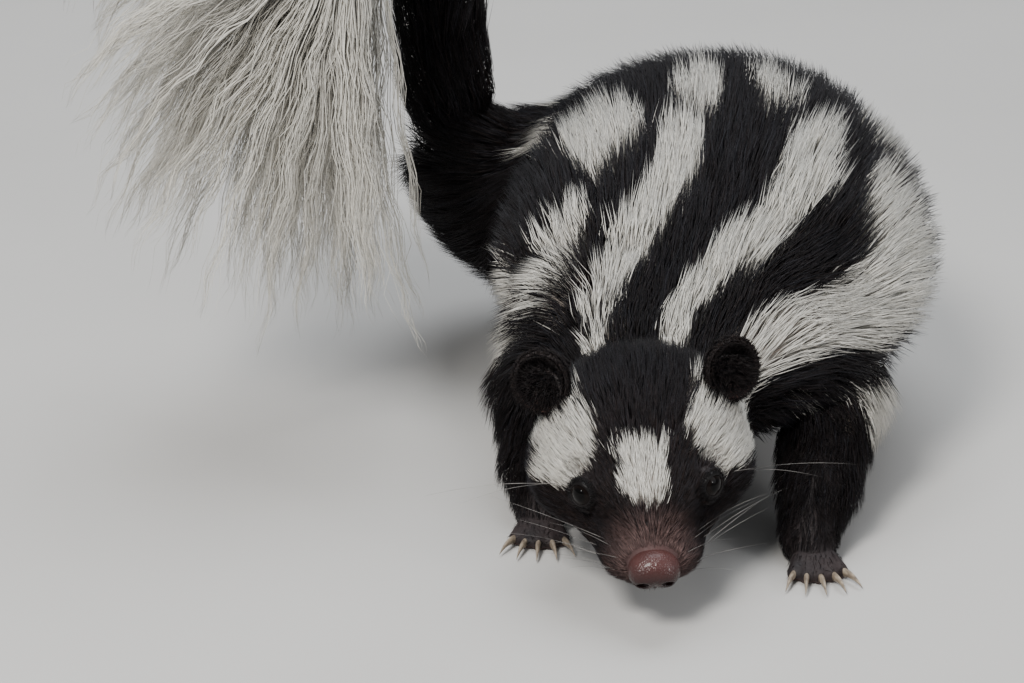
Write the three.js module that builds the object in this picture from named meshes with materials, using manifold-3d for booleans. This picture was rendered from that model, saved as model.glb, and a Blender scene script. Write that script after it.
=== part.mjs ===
// Eastern spotted skunk, life size, as a still museum model.
// The animal creeps forward with its head low and its hindquarters bent round to its right.
// Its tail is raised and the white plume of the tail falls forward.
// Millimetres, +Z up. The nose points towards -Y, and +X is the animal's left at the head.
import * as THREE from 'three';
import { mergeVertices } from 'three/addons/utils/BufferGeometryUtils.js';
import Module from 'manifold-3d';

const wasm = await Module();
wasm.setup();

// Driving dimensions
const GAP = 0.3;
const SLIVER = 0.002;
const NOSE_AT = new THREE.Vector3(30.3, 0, 14.5);
const HEAD_PITCH = THREE.MathUtils.degToRad(28);
const HEAD_YAW = THREE.MathUtils.degToRad(4);
const HEAD_ROLL = THREE.MathUtils.degToRad(3.8);
const NAPE = new THREE.Vector3(0, 50, 4);
const EYE_RADIUS = 3.8;
const EYE_AT = new THREE.Vector3(12.4, 19.8, 5.9);
const LID_THICKNESS = 1.1;
const EAR_AT = new THREE.Vector3(21, 43.5, 14.5);
const EAR_RADIUS = 7.2;
const EAR_DEPTH = 5.5;
const EAR_WALL = 1.4;
const EAR_RIM_LIFT = 0.3;
const NOSE_PAD = new THREE.Vector3(5.3, 4.3, 3.9);
const NOSTRIL_RADIUS = 1.15;
const MOUTH_WIDTH = 0.8;
const EYE_OPENING = 3.1;
const EAR_FACING = new THREE.Vector3(0.42, -0.72, 0.5);
const EAR_STRETCH = 1.08;
const LIP_RADIUS = 0.9;
const TAIL_CORE_SHARE = 0.7;
const BLACK_SEED = 11;
const BLACK_TIERS = [0.04, 0.42];
const BLACK_LOCKS_ROUND = 5;
const BLACK_LOCK_WIDTH = 9;
const BLACK_LOCK_THICKNESS = 1.8;

// The plume: the fan is the angle of a lock from straight down towards the animal's right, in radians,
// and a lock is shorter the further it stands out to the side
const PLUME_SEED = 4788;
const PLUME_LOCKS = 30;
const PLUME_LAYERS = 5;
const PLUME_FAN = [-0.05, 1.5];
const PLUME_LENGTH = 116;
const PLUME_LENGTH_LOSS = 33;
const PLUME_FORWARD = [-0.35, 0.6];
const PLUME_DROOP = 0.2;
const PLUME_WIDTH = [10, 13];
const PLUME_THICKNESS = 1.7;

// Paws: a palm, five toes in a fan and their claws
const PALM = new THREE.Vector3(6.2, 8.2, 4.6);
const PALM_HEIGHT = 3.6;
const TOE_COUNT = 5;
const TOE_RADIUS = 2.1;
const TOE_ROOT = 4.5;
const TOE_LENGTH = 6.5;
const TOE_HEIGHT = 1.6;
const TOE_FAN = THREE.MathUtils.degToRad(13);
const MIDDLE_TOE_EXTRA = 1.6;
const CLAW_RADIUS = 1.05;
const CLAW_SUNK = 1.5;

// Half the wall that is left between the sleeves of a left and a right limb
const MIDLINE_WALL = 5;

// Reach of the smooth joins between the parts of the body
const LINK_BLEND = 3;
const LIMB_BLEND = 10;
const TAIL_BLEND = 6;
const HEAD_BLEND = 7;

// Cell sizes of the surface nets
const TRUNK_CELL = 9.5;
const LEG_CELL = 6;
const HEAD_CELL = 3.9;
const PAW_CELL = 3.0;
const TAIL_CELL = 7;
const NOSE_CELL = 2;

// The spine from the nape to the root of the tail: place, half width, height above, depth below
const SPINE = [
  { at: [30.5, 40, 34], half: 20, up: 15, down: 17 },
  { at: [33, 55, 36], half: 29, up: 17, down: 19 },
  { at: [39, 73, 41], half: 43, up: 20, down: 24 },
  { at: [45.5, 94, 45], half: 54, up: 28, down: 28 },
  { at: [50, 117, 49], half: 55, up: 36, down: 30 },
  { at: [50.5, 139, 51], half: 50, up: 38, down: 31 },
  { at: [41, 157, 50], half: 45, up: 32, down: 31 },
  { at: [23, 167, 46], half: 40, up: 24, down: 30 },
  { at: [5, 170, 43], half: 33, up: 22, down: 27 },
  { at: [-9, 169, 47], half: 22, up: 17, down: 18 },
];
const SPINE_STEPS = 4;
const NECK_STATION = 2;
const CHEST_STATION = 4;
const LOIN_STATION = 6;

// Half of the line of the mouth in the head's frame, from below the nose to the corner
const MOUTH = [[0, 1.6, -5.4], [3, 3.4, -6.4], [6.6, 7.4, -7.2], [9.6, 12, -7], [11.5, 16.8, -5.8]];

// The tail from its root inside the rump to its tip: place and radius over the short fur
const TAIL = [
  { at: [-2, 169, 46], radius: 18 },
  { at: [-12, 169, 57], radius: 15.5 },
  { at: [-17, 169, 78], radius: 14 },
  { at: [-19, 166, 102], radius: 13.5 },
  { at: [-22, 157, 124], radius: 12.5 },
  { at: [-27, 141, 138], radius: 11 },
  { at: [-33, 122, 139], radius: 9 },
  { at: [-38, 105, 130], radius: 6 },
];
const TAIL_STEPS = 3;
const TAIL_CUTS = [4, 7, 10, 13];

// Legs: joint centres, radii there, the way the toes point and the length of the claws
const FORE_RADII = [18.5, 14.5, 10.4, 7];
const HIND_RADII = [22, 16, 8.2, 6.4];
const LEGS = {
  front_left: {
    joints: [[60, 72, 42], [74, 70, 27], [70, 50, 14], [67, 39, 6]],
    radii: FORE_RADII, pair: 'front_right', turn: 6, claw: 6,
  },
  front_right: {
    joints: [[16, 76, 40], [8, 78, 26], [7, 64, 13], [7, 56, 6]],
    radii: FORE_RADII, pair: 'front_left', turn: -4, claw: 6,
  },
  hind_left: {
    joints: [[34, 184, 40], [50, 190, 27], [42, 198, 13], [50, 195, 6]],
    radii: HIND_RADII, pair: 'hind_right', turn: 62, claw: 4,
  },
  hind_right: {
    joints: [[16, 150, 40], [28, 145, 26], [12, 146, 13], [19, 143, 6]],
    radii: HIND_RADII, pair: 'hind_left', turn: 55, claw: 4,
  },
};

// Colours
const BLACK_FUR = { color: 0x17161a, roughness: 0.75, metalness: 0 };
const WHITE_FUR = { color: 0xe6e2d8, roughness: 0.85, metalness: 0 };
const WET_NOSE = { color: 0x6d3a38, roughness: 0.3, metalness: 0 };
const DARK_EYE = { color: 0x08070a, roughness: 0.05, metalness: 0 };
const EAR_SKIN = { color: 0x1c1718, roughness: 0.8, metalness: 0 };

// Distance fields

const point = (xyz) => new THREE.Vector3(...xyz);

function smoothMin(a, b, reach) {
  const h = THREE.MathUtils.clamp(0.5 + (0.5 * (b - a)) / reach, 0, 1);
  return b * (1 - h) + a * h - reach * h * (1 - h);
}

// A capsule whose radius changes from one end to the other
function taper(start, end, startRadius, endRadius) {
  const along = end.clone().sub(start);
  const square = along.lengthSq();
  const offset = new THREE.Vector3();
  return (p) => {
    offset.copy(p).sub(start);
    const t = THREE.MathUtils.clamp(offset.dot(along) / square, 0, 1);
    offset.addScaledVector(along, -t);
    return offset.length() - startRadius - (endRadius - startRadius) * t;
  };
}

function ellipsoidDistance(x, y, z, a, b, c) {
  const near = Math.hypot(x / a, y / b, z / c);
  const far = Math.hypot(x / (a * a), y / (b * b), z / (c * c)) + 1e-9;
  return (near * (near - 1)) / far;
}

function ellipsoid(centre, radii) {
  return (p) => ellipsoidDistance(
    p.x - centre.x, p.y - centre.y, p.z - centre.z, radii.x, radii.y, radii.z,
  );
}

// Places and sizes between the stations of a list, on a Catmull-Rom curve
function sampleStations(stations, keys, steps) {
  const curve = (points) => new THREE.CatmullRomCurve3(points, false, 'catmullrom', 0.5);
  const centre = curve(stations.map((s) => point(s.at)));
  const sizes = curve(stations.map((s) => new THREE.Vector3(...keys.map((key) => s[key] ?? 0))));
  const count = (stations.length - 1) * steps;
  return Array.from({ length: count + 1 }, (_, i) => ({
    at: centre.getPoint(i / count),
    size: sizes.getPoint(i / count),
    along: centre.getTangent(i / count),
  }));
}

// The trunk: short lengths with an oval section, taller above the spine than below or the reverse
const spine = sampleStations(SPINE, ['half', 'up', 'down'], SPINE_STEPS);
const UP = new THREE.Vector3(0, 0, 1);
for (const station of spine) {
  station.up = UP.clone().addScaledVector(station.along, -station.along.z).normalize();
  station.left = new THREE.Vector3().crossVectors(station.along, station.up);
}

function trunkField(p) {
  let nearest = Infinity;
  const offset = new THREE.Vector3();
  const axis = new THREE.Vector3();
  const size = new THREE.Vector3();
  for (let i = 0; i + 1 < spine.length; i += 1) {
    const from = spine[i];
    const to = spine[i + 1];
    axis.copy(to.at).sub(from.at);
    offset.copy(p).sub(from.at);
    const t = THREE.MathUtils.clamp(offset.dot(axis) / axis.lengthSq(), 0, 1);
    offset.addScaledVector(axis, -t);
    size.copy(from.size).lerp(to.size, t);
    const side = offset.dot(from.left) * (1 - t) + offset.dot(to.left) * t;
    const rise = offset.dot(from.up) * (1 - t) + offset.dot(to.up) * t;
    const height = rise > 0 ? size.y : size.z;
    const distance = ellipsoidDistance(
      side, offset.dot(from.along), rise, size.x, Math.min(size.x, height), height,
    );
    nearest = Math.min(nearest, distance);
  }
  return nearest;
}

const tail = sampleStations(TAIL, ['radius'], TAIL_STEPS);

function chainField(links, blend) {
  const join = blend ? (a, b) => smoothMin(a, b, blend) : Math.min;
  return (p) => links.reduce((near, link) => join(near, link(p)), 1e6);
}

function tailLinks(share) {
  return tail.slice(1).map((station, i) => taper(
    tail[i].at, station.at, tail[i].size.x * share(i), station.size.x * share(i + 1),
  ));
}

const tailField = chainField(tailLinks(() => 1), 0);
const tailRootField = chainField(tailLinks(() => 1).slice(0, TAIL_CUTS[0] + 2), 0);

for (const leg of Object.values(LEGS)) {
  leg.points = leg.joints.map(point);
  leg.links = [0, 1, 2].map((i) => taper(
    leg.points[i], leg.points[i + 1], leg.radii[i], leg.radii[i + 1],
  ));
  leg.field = chainField(leg.links, LINK_BLEND);
}

// The head in its own frame: nose at the origin, +Y back along the skull, +Z up
const headPlace = new THREE.Matrix4().makeRotationZ(HEAD_YAW)
  .multiply(new THREE.Matrix4().makeRotationX(HEAD_PITCH))
  .multiply(new THREE.Matrix4().makeRotationY(-HEAD_ROLL));
headPlace.setPosition(NOSE_AT);
const intoHead = headPlace.clone().invert();

const muzzle = taper(new THREE.Vector3(0, 6.5, -1.4), new THREE.Vector3(0, 19, 0), 6.2, 12.2);
const whiskerPad = ellipsoid(new THREE.Vector3(4.4, 9.5, -2.7), new THREE.Vector3(7, 7.4, 5.6));
const brow = ellipsoid(new THREE.Vector3(0, 21.6, 4), new THREE.Vector3(13.5, 13.5, 9.5));
const cranium = ellipsoid(new THREE.Vector3(0, 37, 4.5), new THREE.Vector3(21.2, 20, 14.4));
const cheek = ellipsoid(new THREE.Vector3(12.6, 33.3, -2.7), new THREE.Vector3(13, 15.3, 11.7));
const jaw = taper(new THREE.Vector3(0, 7.2, -6.3), new THREE.Vector3(0, 27, -8.1), 3.2, 9);
const jowl = taper(new THREE.Vector3(7, 12.5, -3.4), new THREE.Vector3(13, 24, -3), 5, 6);

function headField(p) {
  const q = new THREE.Vector3(Math.abs(p.x), p.y, p.z);
  let d = smoothMin(muzzle(q), whiskerPad(q), 2.7);
  d = smoothMin(d, brow(q), 5.4);
  d = smoothMin(d, cranium(q), 5.4);
  d = smoothMin(d, cheek(q), 5.4);
  d = smoothMin(d, jowl(q), 3);
  return smoothMin(d, jaw(q), 3.6);
}

function trunkAndShoulders(p) {
  const limbs = Object.values(LEGS).reduce((near, leg) => Math.min(near, leg.links[0](p)), 1e6);
  const d = smoothMin(smoothMin(trunkField(p), limbs, LIMB_BLEND), tailRootField(p), TAIL_BLEND);
  return smoothMin(d, headField(p.clone().applyMatrix4(intoHead)), HEAD_BLEND);
}

function wholeBody(p) {
  const limbs = Object.values(LEGS).reduce((near, leg) => Math.min(near, leg.field(p)), 1e6);
  const d = smoothMin(smoothMin(trunkField(p), limbs, LIMB_BLEND), tailField(p), TAIL_BLEND);
  return smoothMin(d, headField(p.clone().applyMatrix4(intoHead)), HEAD_BLEND);
}

// Surface nets: one vertex in each cell that the surface crosses, one quad for each crossed grid edge.
// The outermost samples stay outside, so a body that runs past the box is closed there.
function meshField(field, low, high, cell) {
  const counts = ['x', 'y', 'z'].map((axis) => Math.ceil((high[axis] - low[axis]) / cell) + 1);
  const [nx, ny, nz] = counts;
  const at = (i, j, k) => (i * ny + j) * nz + k;
  const values = new Float32Array(nx * ny * nz);
  values.fill(cell);
  const p = new THREE.Vector3();
  for (let i = 1; i + 1 < nx; i += 1) {
    for (let j = 1; j + 1 < ny; j += 1) {
      for (let k = 1; k + 1 < nz; k += 1) {
        values[at(i, j, k)] = field(p.set(low.x + i * cell, low.y + j * cell, low.z + k * cell));
      }
    }
  }
  const corners = [];
  for (let c = 0; c < 8; c += 1) {
    corners.push([c & 1, (c >> 1) & 1, (c >> 2) & 1]);
  }
  const vertexOf = new Int32Array(nx * ny * nz).fill(-1);
  const positions = [];
  for (let i = 0; i + 1 < nx; i += 1) {
    for (let j = 0; j + 1 < ny; j += 1) {
      for (let k = 0; k + 1 < nz; k += 1) {
        const v = corners.map(([a, b, c]) => values[at(i + a, j + b, k + c)]);
        const sum = [0, 0, 0];
        let crossings = 0;
        for (let a = 0; a < 8; a += 1) {
          for (const bit of [1, 2, 4]) {
            const b = a | bit;
            if (b !== a && (v[a] < 0) !== (v[b] < 0)) {
              const t = v[a] / (v[a] - v[b]);
              corners[a].forEach((from, axis) => {
                sum[axis] += from + (corners[b][axis] - from) * t;
              });
              crossings += 1;
            }
          }
        }
        if (crossings > 0) {
          vertexOf[at(i, j, k)] = positions.length / 3;
          positions.push(
            low.x + (i + sum[0] / crossings) * cell,
            low.y + (j + sum[1] / crossings) * cell,
            low.z + (k + sum[2] / crossings) * cell,
          );
        }
      }
    }
  }
  const index = [];
  const quad = (a, b, c, d, flip) => {
    const [p0, p1, p2, p3] = flip ? [a, d, c, b] : [a, b, c, d];
    index.push(p0, p1, p2, p0, p2, p3);
  };
  for (let i = 0; i + 1 < nx; i += 1) {
    for (let j = 0; j + 1 < ny; j += 1) {
      for (let k = 0; k + 1 < nz; k += 1) {
        const inside = values[at(i, j, k)] < 0;
        const cells = (...steps) => steps.map(([a, b, c]) => vertexOf[at(i - a, j - b, k - c)]);
        if (inside !== values[at(i + 1, j, k)] < 0) {
          quad(...cells([0, 1, 1], [0, 0, 1], [0, 0, 0], [0, 1, 0]), !inside);
        }
        if (inside !== values[at(i, j + 1, k)] < 0) {
          quad(...cells([1, 0, 1], [1, 0, 0], [0, 0, 0], [0, 0, 1]), !inside);
        }
        if (inside !== values[at(i, j, k + 1)] < 0) {
          quad(...cells([1, 1, 0], [0, 1, 0], [0, 0, 0], [1, 0, 0]), !inside);
        }
      }
    }
  }
  const geometry = new THREE.BufferGeometry();
  geometry.setAttribute('position', new THREE.Float32BufferAttribute(positions, 3));
  geometry.setIndex(index);
  return geometry;
}

// Joining and cutting

function solidOf(geometry, place) {
  const plain = geometry.clone();
  plain.deleteAttribute('normal');
  plain.deleteAttribute('uv');
  if (place) {
    plain.applyMatrix4(place);
  }
  const merged = mergeVertices(plain, 1e-4);
  return new wasm.Manifold(new wasm.Mesh({
    numProp: 3,
    vertProperties: new Float32Array(merged.attributes.position.array),
    triVerts: new Uint32Array(merged.index.array),
  }));
}

function largestOf(solid) {
  return solid.decompose().reduce((best, piece) => (piece.volume() > best.volume() ? piece : best));
}

// All of space on the far side of a plane, as a box large enough for the animal
function beyond(origin, normal, shift = 0) {
  const size = 700;
  const direction = normal.clone().normalize();
  const place = new THREE.Matrix4().makeRotationFromQuaternion(
    new THREE.Quaternion().setFromUnitVectors(UP, direction),
  );
  place.setPosition(origin.clone().addScaledVector(direction, shift + size / 2));
  return solidOf(new THREE.BoxGeometry(size, size, size), place);
}

// A round-ended rod between two points
function rod(from, to, radius, sides = 12) {
  const along = to.clone().sub(from);
  const place = new THREE.Matrix4().makeRotationFromQuaternion(
    new THREE.Quaternion().setFromUnitVectors(new THREE.Vector3(0, 1, 0), along.clone().normalize()),
  );
  place.setPosition(from.clone().add(to).multiplyScalar(0.5));
  return solidOf(new THREE.CapsuleGeometry(radius, along.length(), 3, sides), place);
}

// Corners closer than the tolerance become one, and triangles that lose an edge by that are dropped
function withoutSlivers(geometry) {
  const merged = mergeVertices(geometry, SLIVER);
  const corners = merged.index.array;
  const index = [];
  for (let i = 0; i < corners.length; i += 3) {
    const [a, b, c] = corners.slice(i, i + 3);
    if (a !== b && b !== c && c !== a) {
      index.push(a, b, c);
    }
  }
  merged.setIndex(index);
  merged.computeVertexNormals();
  return merged;
}

function geometryOf(solid) {
  const { vertProperties, triVerts, numProp } = solid.getMesh();
  const positions = new Float32Array((vertProperties.length / numProp) * 3);
  for (let i = 0; i < positions.length / 3; i += 1) {
    positions.set(vertProperties.subarray(i * numProp, i * numProp + 3), i * 3);
  }
  const cut = new THREE.BufferGeometry();
  cut.setAttribute('position', new THREE.BufferAttribute(positions, 3));
  cut.setIndex(Array.from(triVerts));
  return withoutSlivers(cut);
}

function addNode(parent, name, solid, finish) {
  const mesh = new THREE.Mesh(geometryOf(largestOf(solid)), new THREE.MeshStandardMaterial(finish));
  mesh.name = name;
  parent.add(mesh);
  return mesh;
}

const skunk = new THREE.Group();

// Legs: each limb is cut out of the body by a round-ended sleeve and parted at elbow and wrist

function sleeve(leg, grow) {
  const [shoulder, elbow, wrist, paw] = leg.points;
  const upper = rod(shoulder, elbow, leg.radii[0] + 2 + grow);
  const middle = rod(elbow, wrist, leg.radii[1] + 2 + grow);
  const whole = upper.add(middle).add(rod(wrist, paw, leg.radii[2] + 2.5 + grow));
  const opposite = LEGS[leg.pair].points[0];
  const midline = opposite.clone().lerp(shoulder, 0.5);
  return whole.intersect(beyond(midline, shoulder.clone().sub(opposite), MIDLINE_WALL - grow));
}

// A toe of a paw that stands at the origin with its toes towards -Y
function toeLine(index) {
  const angle = (index - (TOE_COUNT - 1) / 2) * TOE_FAN;
  const outward = new THREE.Vector3(Math.sin(angle), -Math.cos(angle), 0);
  const length = TOE_LENGTH + MIDDLE_TOE_EXTRA * Math.cos(angle * 2.5);
  return {
    outward,
    root: outward.clone().multiplyScalar(TOE_ROOT).setZ(TOE_HEIGHT * 1.8),
    tip: outward.clone().multiplyScalar(TOE_ROOT + length).setZ(TOE_HEIGHT),
  };
}

function pawField(wrist, ankle, radii) {
  const palm = ellipsoid(new THREE.Vector3(0, 0, PALM_HEIGHT), PALM);
  const shank = taper(wrist, ankle, radii[2], radii[3]);
  const toes = Array.from({ length: TOE_COUNT }, (_, i) => toeLine(i))
    .map(({ root, tip }) => taper(root, tip, TOE_RADIUS + 0.5, TOE_RADIUS));
  return (p) => toes.reduce((near, toe) => smoothMin(near, toe(p), 1), smoothMin(palm(p), shank(p), 3));
}

function clawSolid(index, length) {
  const { tip, outward } = toeLine(index);
  const shape = new THREE.ConeGeometry(CLAW_RADIUS, length + CLAW_SUNK, 5);
  shape.translate(0, (length - CLAW_SUNK) / 2, 0);
  const place = new THREE.Matrix4().makeRotationFromQuaternion(new THREE.Quaternion().setFromUnitVectors(
    new THREE.Vector3(0, 1, 0), outward.clone().setZ(-0.1).normalize(),
  ));
  place.setPosition(tip.clone().addScaledVector(outward, TOE_RADIUS * 0.6));
  return solidOf(shape, place);
}

function buildLeg(name, leg) {
  const [, elbow, wrist, paw] = leg.points;
  const box = new THREE.Box3().setFromPoints(leg.points).expandByScalar(leg.radii[0] + 6);
  const limb = solidOf(meshField(wholeBody, box.min, box.max, LEG_CELL)).intersect(sleeve(leg, 0));
  const shinWay = wrist.clone().sub(elbow);
  const footWay = paw.clone().sub(wrist);
  const elbowCut = elbow.clone().addScaledVector(shinWay, 0.3);
  const belowElbow = limb.intersect(beyond(elbowCut, shinWay, GAP / 2));
  addNode(skunk, `${name}_upper`, limb.subtract(beyond(elbowCut, shinWay, -GAP / 2)), BLACK_FUR);
  addNode(skunk, `${name}_lower`, belowElbow.subtract(beyond(wrist, footWay, -GAP / 2)), BLACK_FUR);

  const stand = new THREE.Group();
  stand.position.set(paw.x, paw.y, 0);
  stand.rotation.z = THREE.MathUtils.degToRad(leg.turn);
  stand.updateMatrix();
  const intoPaw = stand.matrix.clone().invert();
  const localWrist = wrist.clone().applyMatrix4(intoPaw);
  const localPaw = paw.clone().applyMatrix4(intoPaw);
  const field = pawField(localWrist, localPaw, leg.radii);
  const low = new THREE.Vector3(-14, -18, -4);
  const high = new THREE.Vector3(14, 24, 24);
  let foot = solidOf(meshField(field, low, high, PAW_CELL));
  for (let i = 0; i < TOE_COUNT; i += 1) {
    foot = foot.add(clawSolid(i, leg.claw));
  }
  const ankleSide = beyond(localWrist, localPaw.clone().sub(localWrist), GAP / 2);
  foot = foot.intersect(beyond(new THREE.Vector3(), UP)).intersect(ankleSide);
  addNode(stand, `${name}_paw`, foot, BLACK_FUR);
  skunk.add(stand);
}

for (const [name, leg] of Object.entries(LEGS)) {
  buildLeg(name, leg);
}

// Trunk: neck, chest, loin and rump, parted across the spine, with the limbs' sleeves taken out

function buildTrunk() {
  const low = new THREE.Vector3(-45, 20, 0);
  const high = new THREE.Vector3(120, 222, 108);
  let trunk = solidOf(meshField(trunkAndShoulders, low, high, TRUNK_CELL));
  for (const leg of Object.values(LEGS)) {
    trunk = trunk.subtract(sleeve(leg, GAP));
  }
  const napeWay = new THREE.Vector3(0, 1, 0).transformDirection(headPlace);
  const cutAt = (station) => {
    const { at, along } = spine[station * SPINE_STEPS];
    return { at, along };
  };
  const nape = { at: NAPE.clone().applyMatrix4(headPlace), along: napeWay };
  const tailRoot = tail[TAIL_CUTS[0]];
  const aboveRoot = rod(tailRoot.at, tail[TAIL_CUTS[1]].at, tailRoot.size.x * 1.5);
  trunk = trunk.subtract(aboveRoot.intersect(beyond(tailRoot.at, tailRoot.along, -GAP / 2)));
  trunk = trunk.intersect(beyond(nape.at, nape.along, GAP / 2));
  const cuts = { neck: cutAt(NECK_STATION), chest: cutAt(CHEST_STATION), loin: cutAt(LOIN_STATION) };
  for (const [name, { at, along }] of Object.entries(cuts)) {
    addNode(skunk, name, trunk.subtract(beyond(at, along, -GAP / 2)), BLACK_FUR);
    trunk = trunk.intersect(beyond(at, along, GAP / 2));
  }
  addNode(skunk, 'rump', trunk, BLACK_FUR);
}

buildTrunk();

// Head: everything below is in the head's own frame

const SIDES = { left: 1, right: -1 };

function gradientOf(field, p) {
  const step = 0.2;
  const slope = ['x', 'y', 'z'].map((axis) => {
    const ahead = p.clone();
    const behind = p.clone();
    ahead[axis] += step;
    behind[axis] -= step;
    return field(ahead) - field(behind);
  });
  return new THREE.Vector3(...slope).normalize();
}

function ontoHead(p) {
  const q = p.clone();
  for (let i = 0; i < 4; i += 1) {
    q.addScaledVector(gradientOf(headField, q), -headField(q));
  }
  return q;
}

// The eyeball sits so deep that the lids close round it at the opening's radius
function eyePlace(side) {
  const surface = ontoHead(new THREE.Vector3(side * EYE_AT.x, EYE_AT.y, EYE_AT.z));
  const outward = gradientOf(headField, surface);
  const depth = Math.sqrt(EYE_RADIUS ** 2 - EYE_OPENING ** 2);
  return { centre: surface.clone().addScaledVector(outward, -depth), surface, outward };
}

function eyeball({ centre }, radius) {
  return solidOf(new THREE.SphereGeometry(radius, 12, 8), new THREE.Matrix4().setPosition(centre));
}

function lidRing({ surface, outward }) {
  const ring = new THREE.TorusGeometry(EYE_OPENING + LID_THICKNESS * 0.4, LID_THICKNESS / 2, 5, 14);
  const across = new THREE.Vector3().crossVectors(UP, outward).normalize();
  const upward = new THREE.Vector3().crossVectors(outward, across);
  const place = new THREE.Matrix4().makeBasis(across.multiplyScalar(1.1), upward, outward);
  place.setPosition(surface.clone().addScaledVector(outward, LID_THICKNESS * 0.1));
  return solidOf(ring, place);
}

// The line of the mouth, from one corner round below the nose to the other
function mouthLine(lift) {
  const half = MOUTH.map(point);
  const other = half.slice(1).map((p) => p.clone().setX(-p.x)).reverse();
  const whole = [...other, ...half].map((p) => ontoHead(p.clone().setZ(p.z + lift)));
  return new THREE.CatmullRomCurve3(whole);
}

function cordSolid(curve, radius, sides, steps) {
  const section = new THREE.Shape(Array.from({ length: sides }, (_, i) => {
    const angle = (i / sides) * 2 * Math.PI;
    return new THREE.Vector2(radius * Math.cos(angle), radius * Math.sin(angle));
  }));
  return solidOf(new THREE.ExtrudeGeometry(section, { extrudePath: curve, steps, bevelEnabled: false }));
}

const noseBulb = ellipsoid(new THREE.Vector3(2.5, 1.6, -0.3), new THREE.Vector3(2.9, 3.3, 3.1));
const noseBody = ellipsoid(new THREE.Vector3(0, 2.5, 0.3), NOSE_PAD);

function noseField(p) {
  return smoothMin(noseBody(p), noseBulb(new THREE.Vector3(Math.abs(p.x), p.y, p.z)), 1.2);
}

function noseSolid(grow) {
  const reach = new THREE.Vector3(9, 8, 7);
  return solidOf(meshField((p) => noseField(p) - grow, reach.clone().negate(), reach, NOSE_CELL));
}

// An ear is a round cup with a thick rim, standing off the side of the skull
function earSolid(side) {
  const arcs = 4;
  const arc = (radius, depth, lift) => Array.from({ length: arcs + 1 }, (_, i) => {
    const angle = (i / arcs) * Math.PI * 0.5;
    return new THREE.Vector2(radius * Math.sin(angle), lift - depth * Math.cos(angle));
  });
  const inner = arc(EAR_RADIUS - EAR_WALL, EAR_DEPTH - EAR_WALL, EAR_RIM_LIFT);
  const profile = [...arc(EAR_RADIUS, EAR_DEPTH, 0), ...inner.reverse()];
  profile[0].x = 0;
  profile[profile.length - 1].x = 0;
  const cup = new THREE.LatheGeometry(profile, 14);
  const opening = new THREE.Vector3(side * EAR_FACING.x, EAR_FACING.y, EAR_FACING.z).normalize();
  const across = new THREE.Vector3().crossVectors(opening, UP).normalize();
  const along = new THREE.Vector3().crossVectors(across, opening);
  const place = new THREE.Matrix4().makeBasis(across, opening, along.multiplyScalar(EAR_STRETCH));
  place.setPosition(side * EAR_AT.x, EAR_AT.y, EAR_AT.z);
  return solidOf(cup, place);
}

function buildHead() {
  const head = new THREE.Group();
  head.position.copy(NOSE_AT);
  head.quaternion.setFromRotationMatrix(headPlace);
  skunk.add(head);

  const low = new THREE.Vector3(-34, -6, -28);
  const high = new THREE.Vector3(34, 58, 28);
  const field = (p) => trunkAndShoulders(p.clone().applyMatrix4(headPlace));
  let skull = solidOf(meshField(field, low, high, HEAD_CELL));
  skull = skull.subtract(beyond(NAPE, new THREE.Vector3(0, 1, 0), -GAP / 2));
  for (const leg of [LEGS.front_left, LEGS.front_right]) {
    skull = skull.subtract(sleeve(leg, GAP).transform(intoHead.elements));
  }
  const ears = solidOf(meshField((p) => field(p) - GAP, low, high, HEAD_CELL));
  for (const [name, side] of Object.entries(SIDES)) {
    addNode(head, `ear_${name}`, earSolid(side).subtract(ears), EAR_SKIN);
    const eye = eyePlace(side);
    addNode(head, `eye_${name}`, eyeball(eye, EYE_RADIUS), DARK_EYE);
    skull = skull.add(lidRing(eye)).subtract(eyeball(eye, EYE_RADIUS + GAP));
  }
  for (const lift of [LIP_RADIUS, -LIP_RADIUS]) {
    skull = skull.add(cordSolid(mouthLine(lift), LIP_RADIUS, 4, 14));
  }
  skull = skull.subtract(cordSolid(mouthLine(0), MOUTH_WIDTH / 2, 4, 14));
  addNode(head, 'head', skull.subtract(noseSolid(GAP)), BLACK_FUR);

  let nose = noseSolid(0);
  for (const side of Object.values(SIDES)) {
    const front = new THREE.Vector3(side * 2.3, -2.4, -0.4);
    const back = new THREE.Vector3(side * 3.6, 0.6, -1);
    nose = nose.subtract(rod(front, back, NOSTRIL_RADIUS, 8));
  }
  addNode(head, 'nose', nose, WET_NOSE);
}

buildHead();

// Tail: a core under flat locks that lie along it, and a plume of long white locks at the end

let seed = BLACK_SEED;
function random() {
  seed = (seed * 16807) % 2147483647;
  return seed / 2147483647;
}
const between = (low, high) => low + (high - low) * random();

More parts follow.
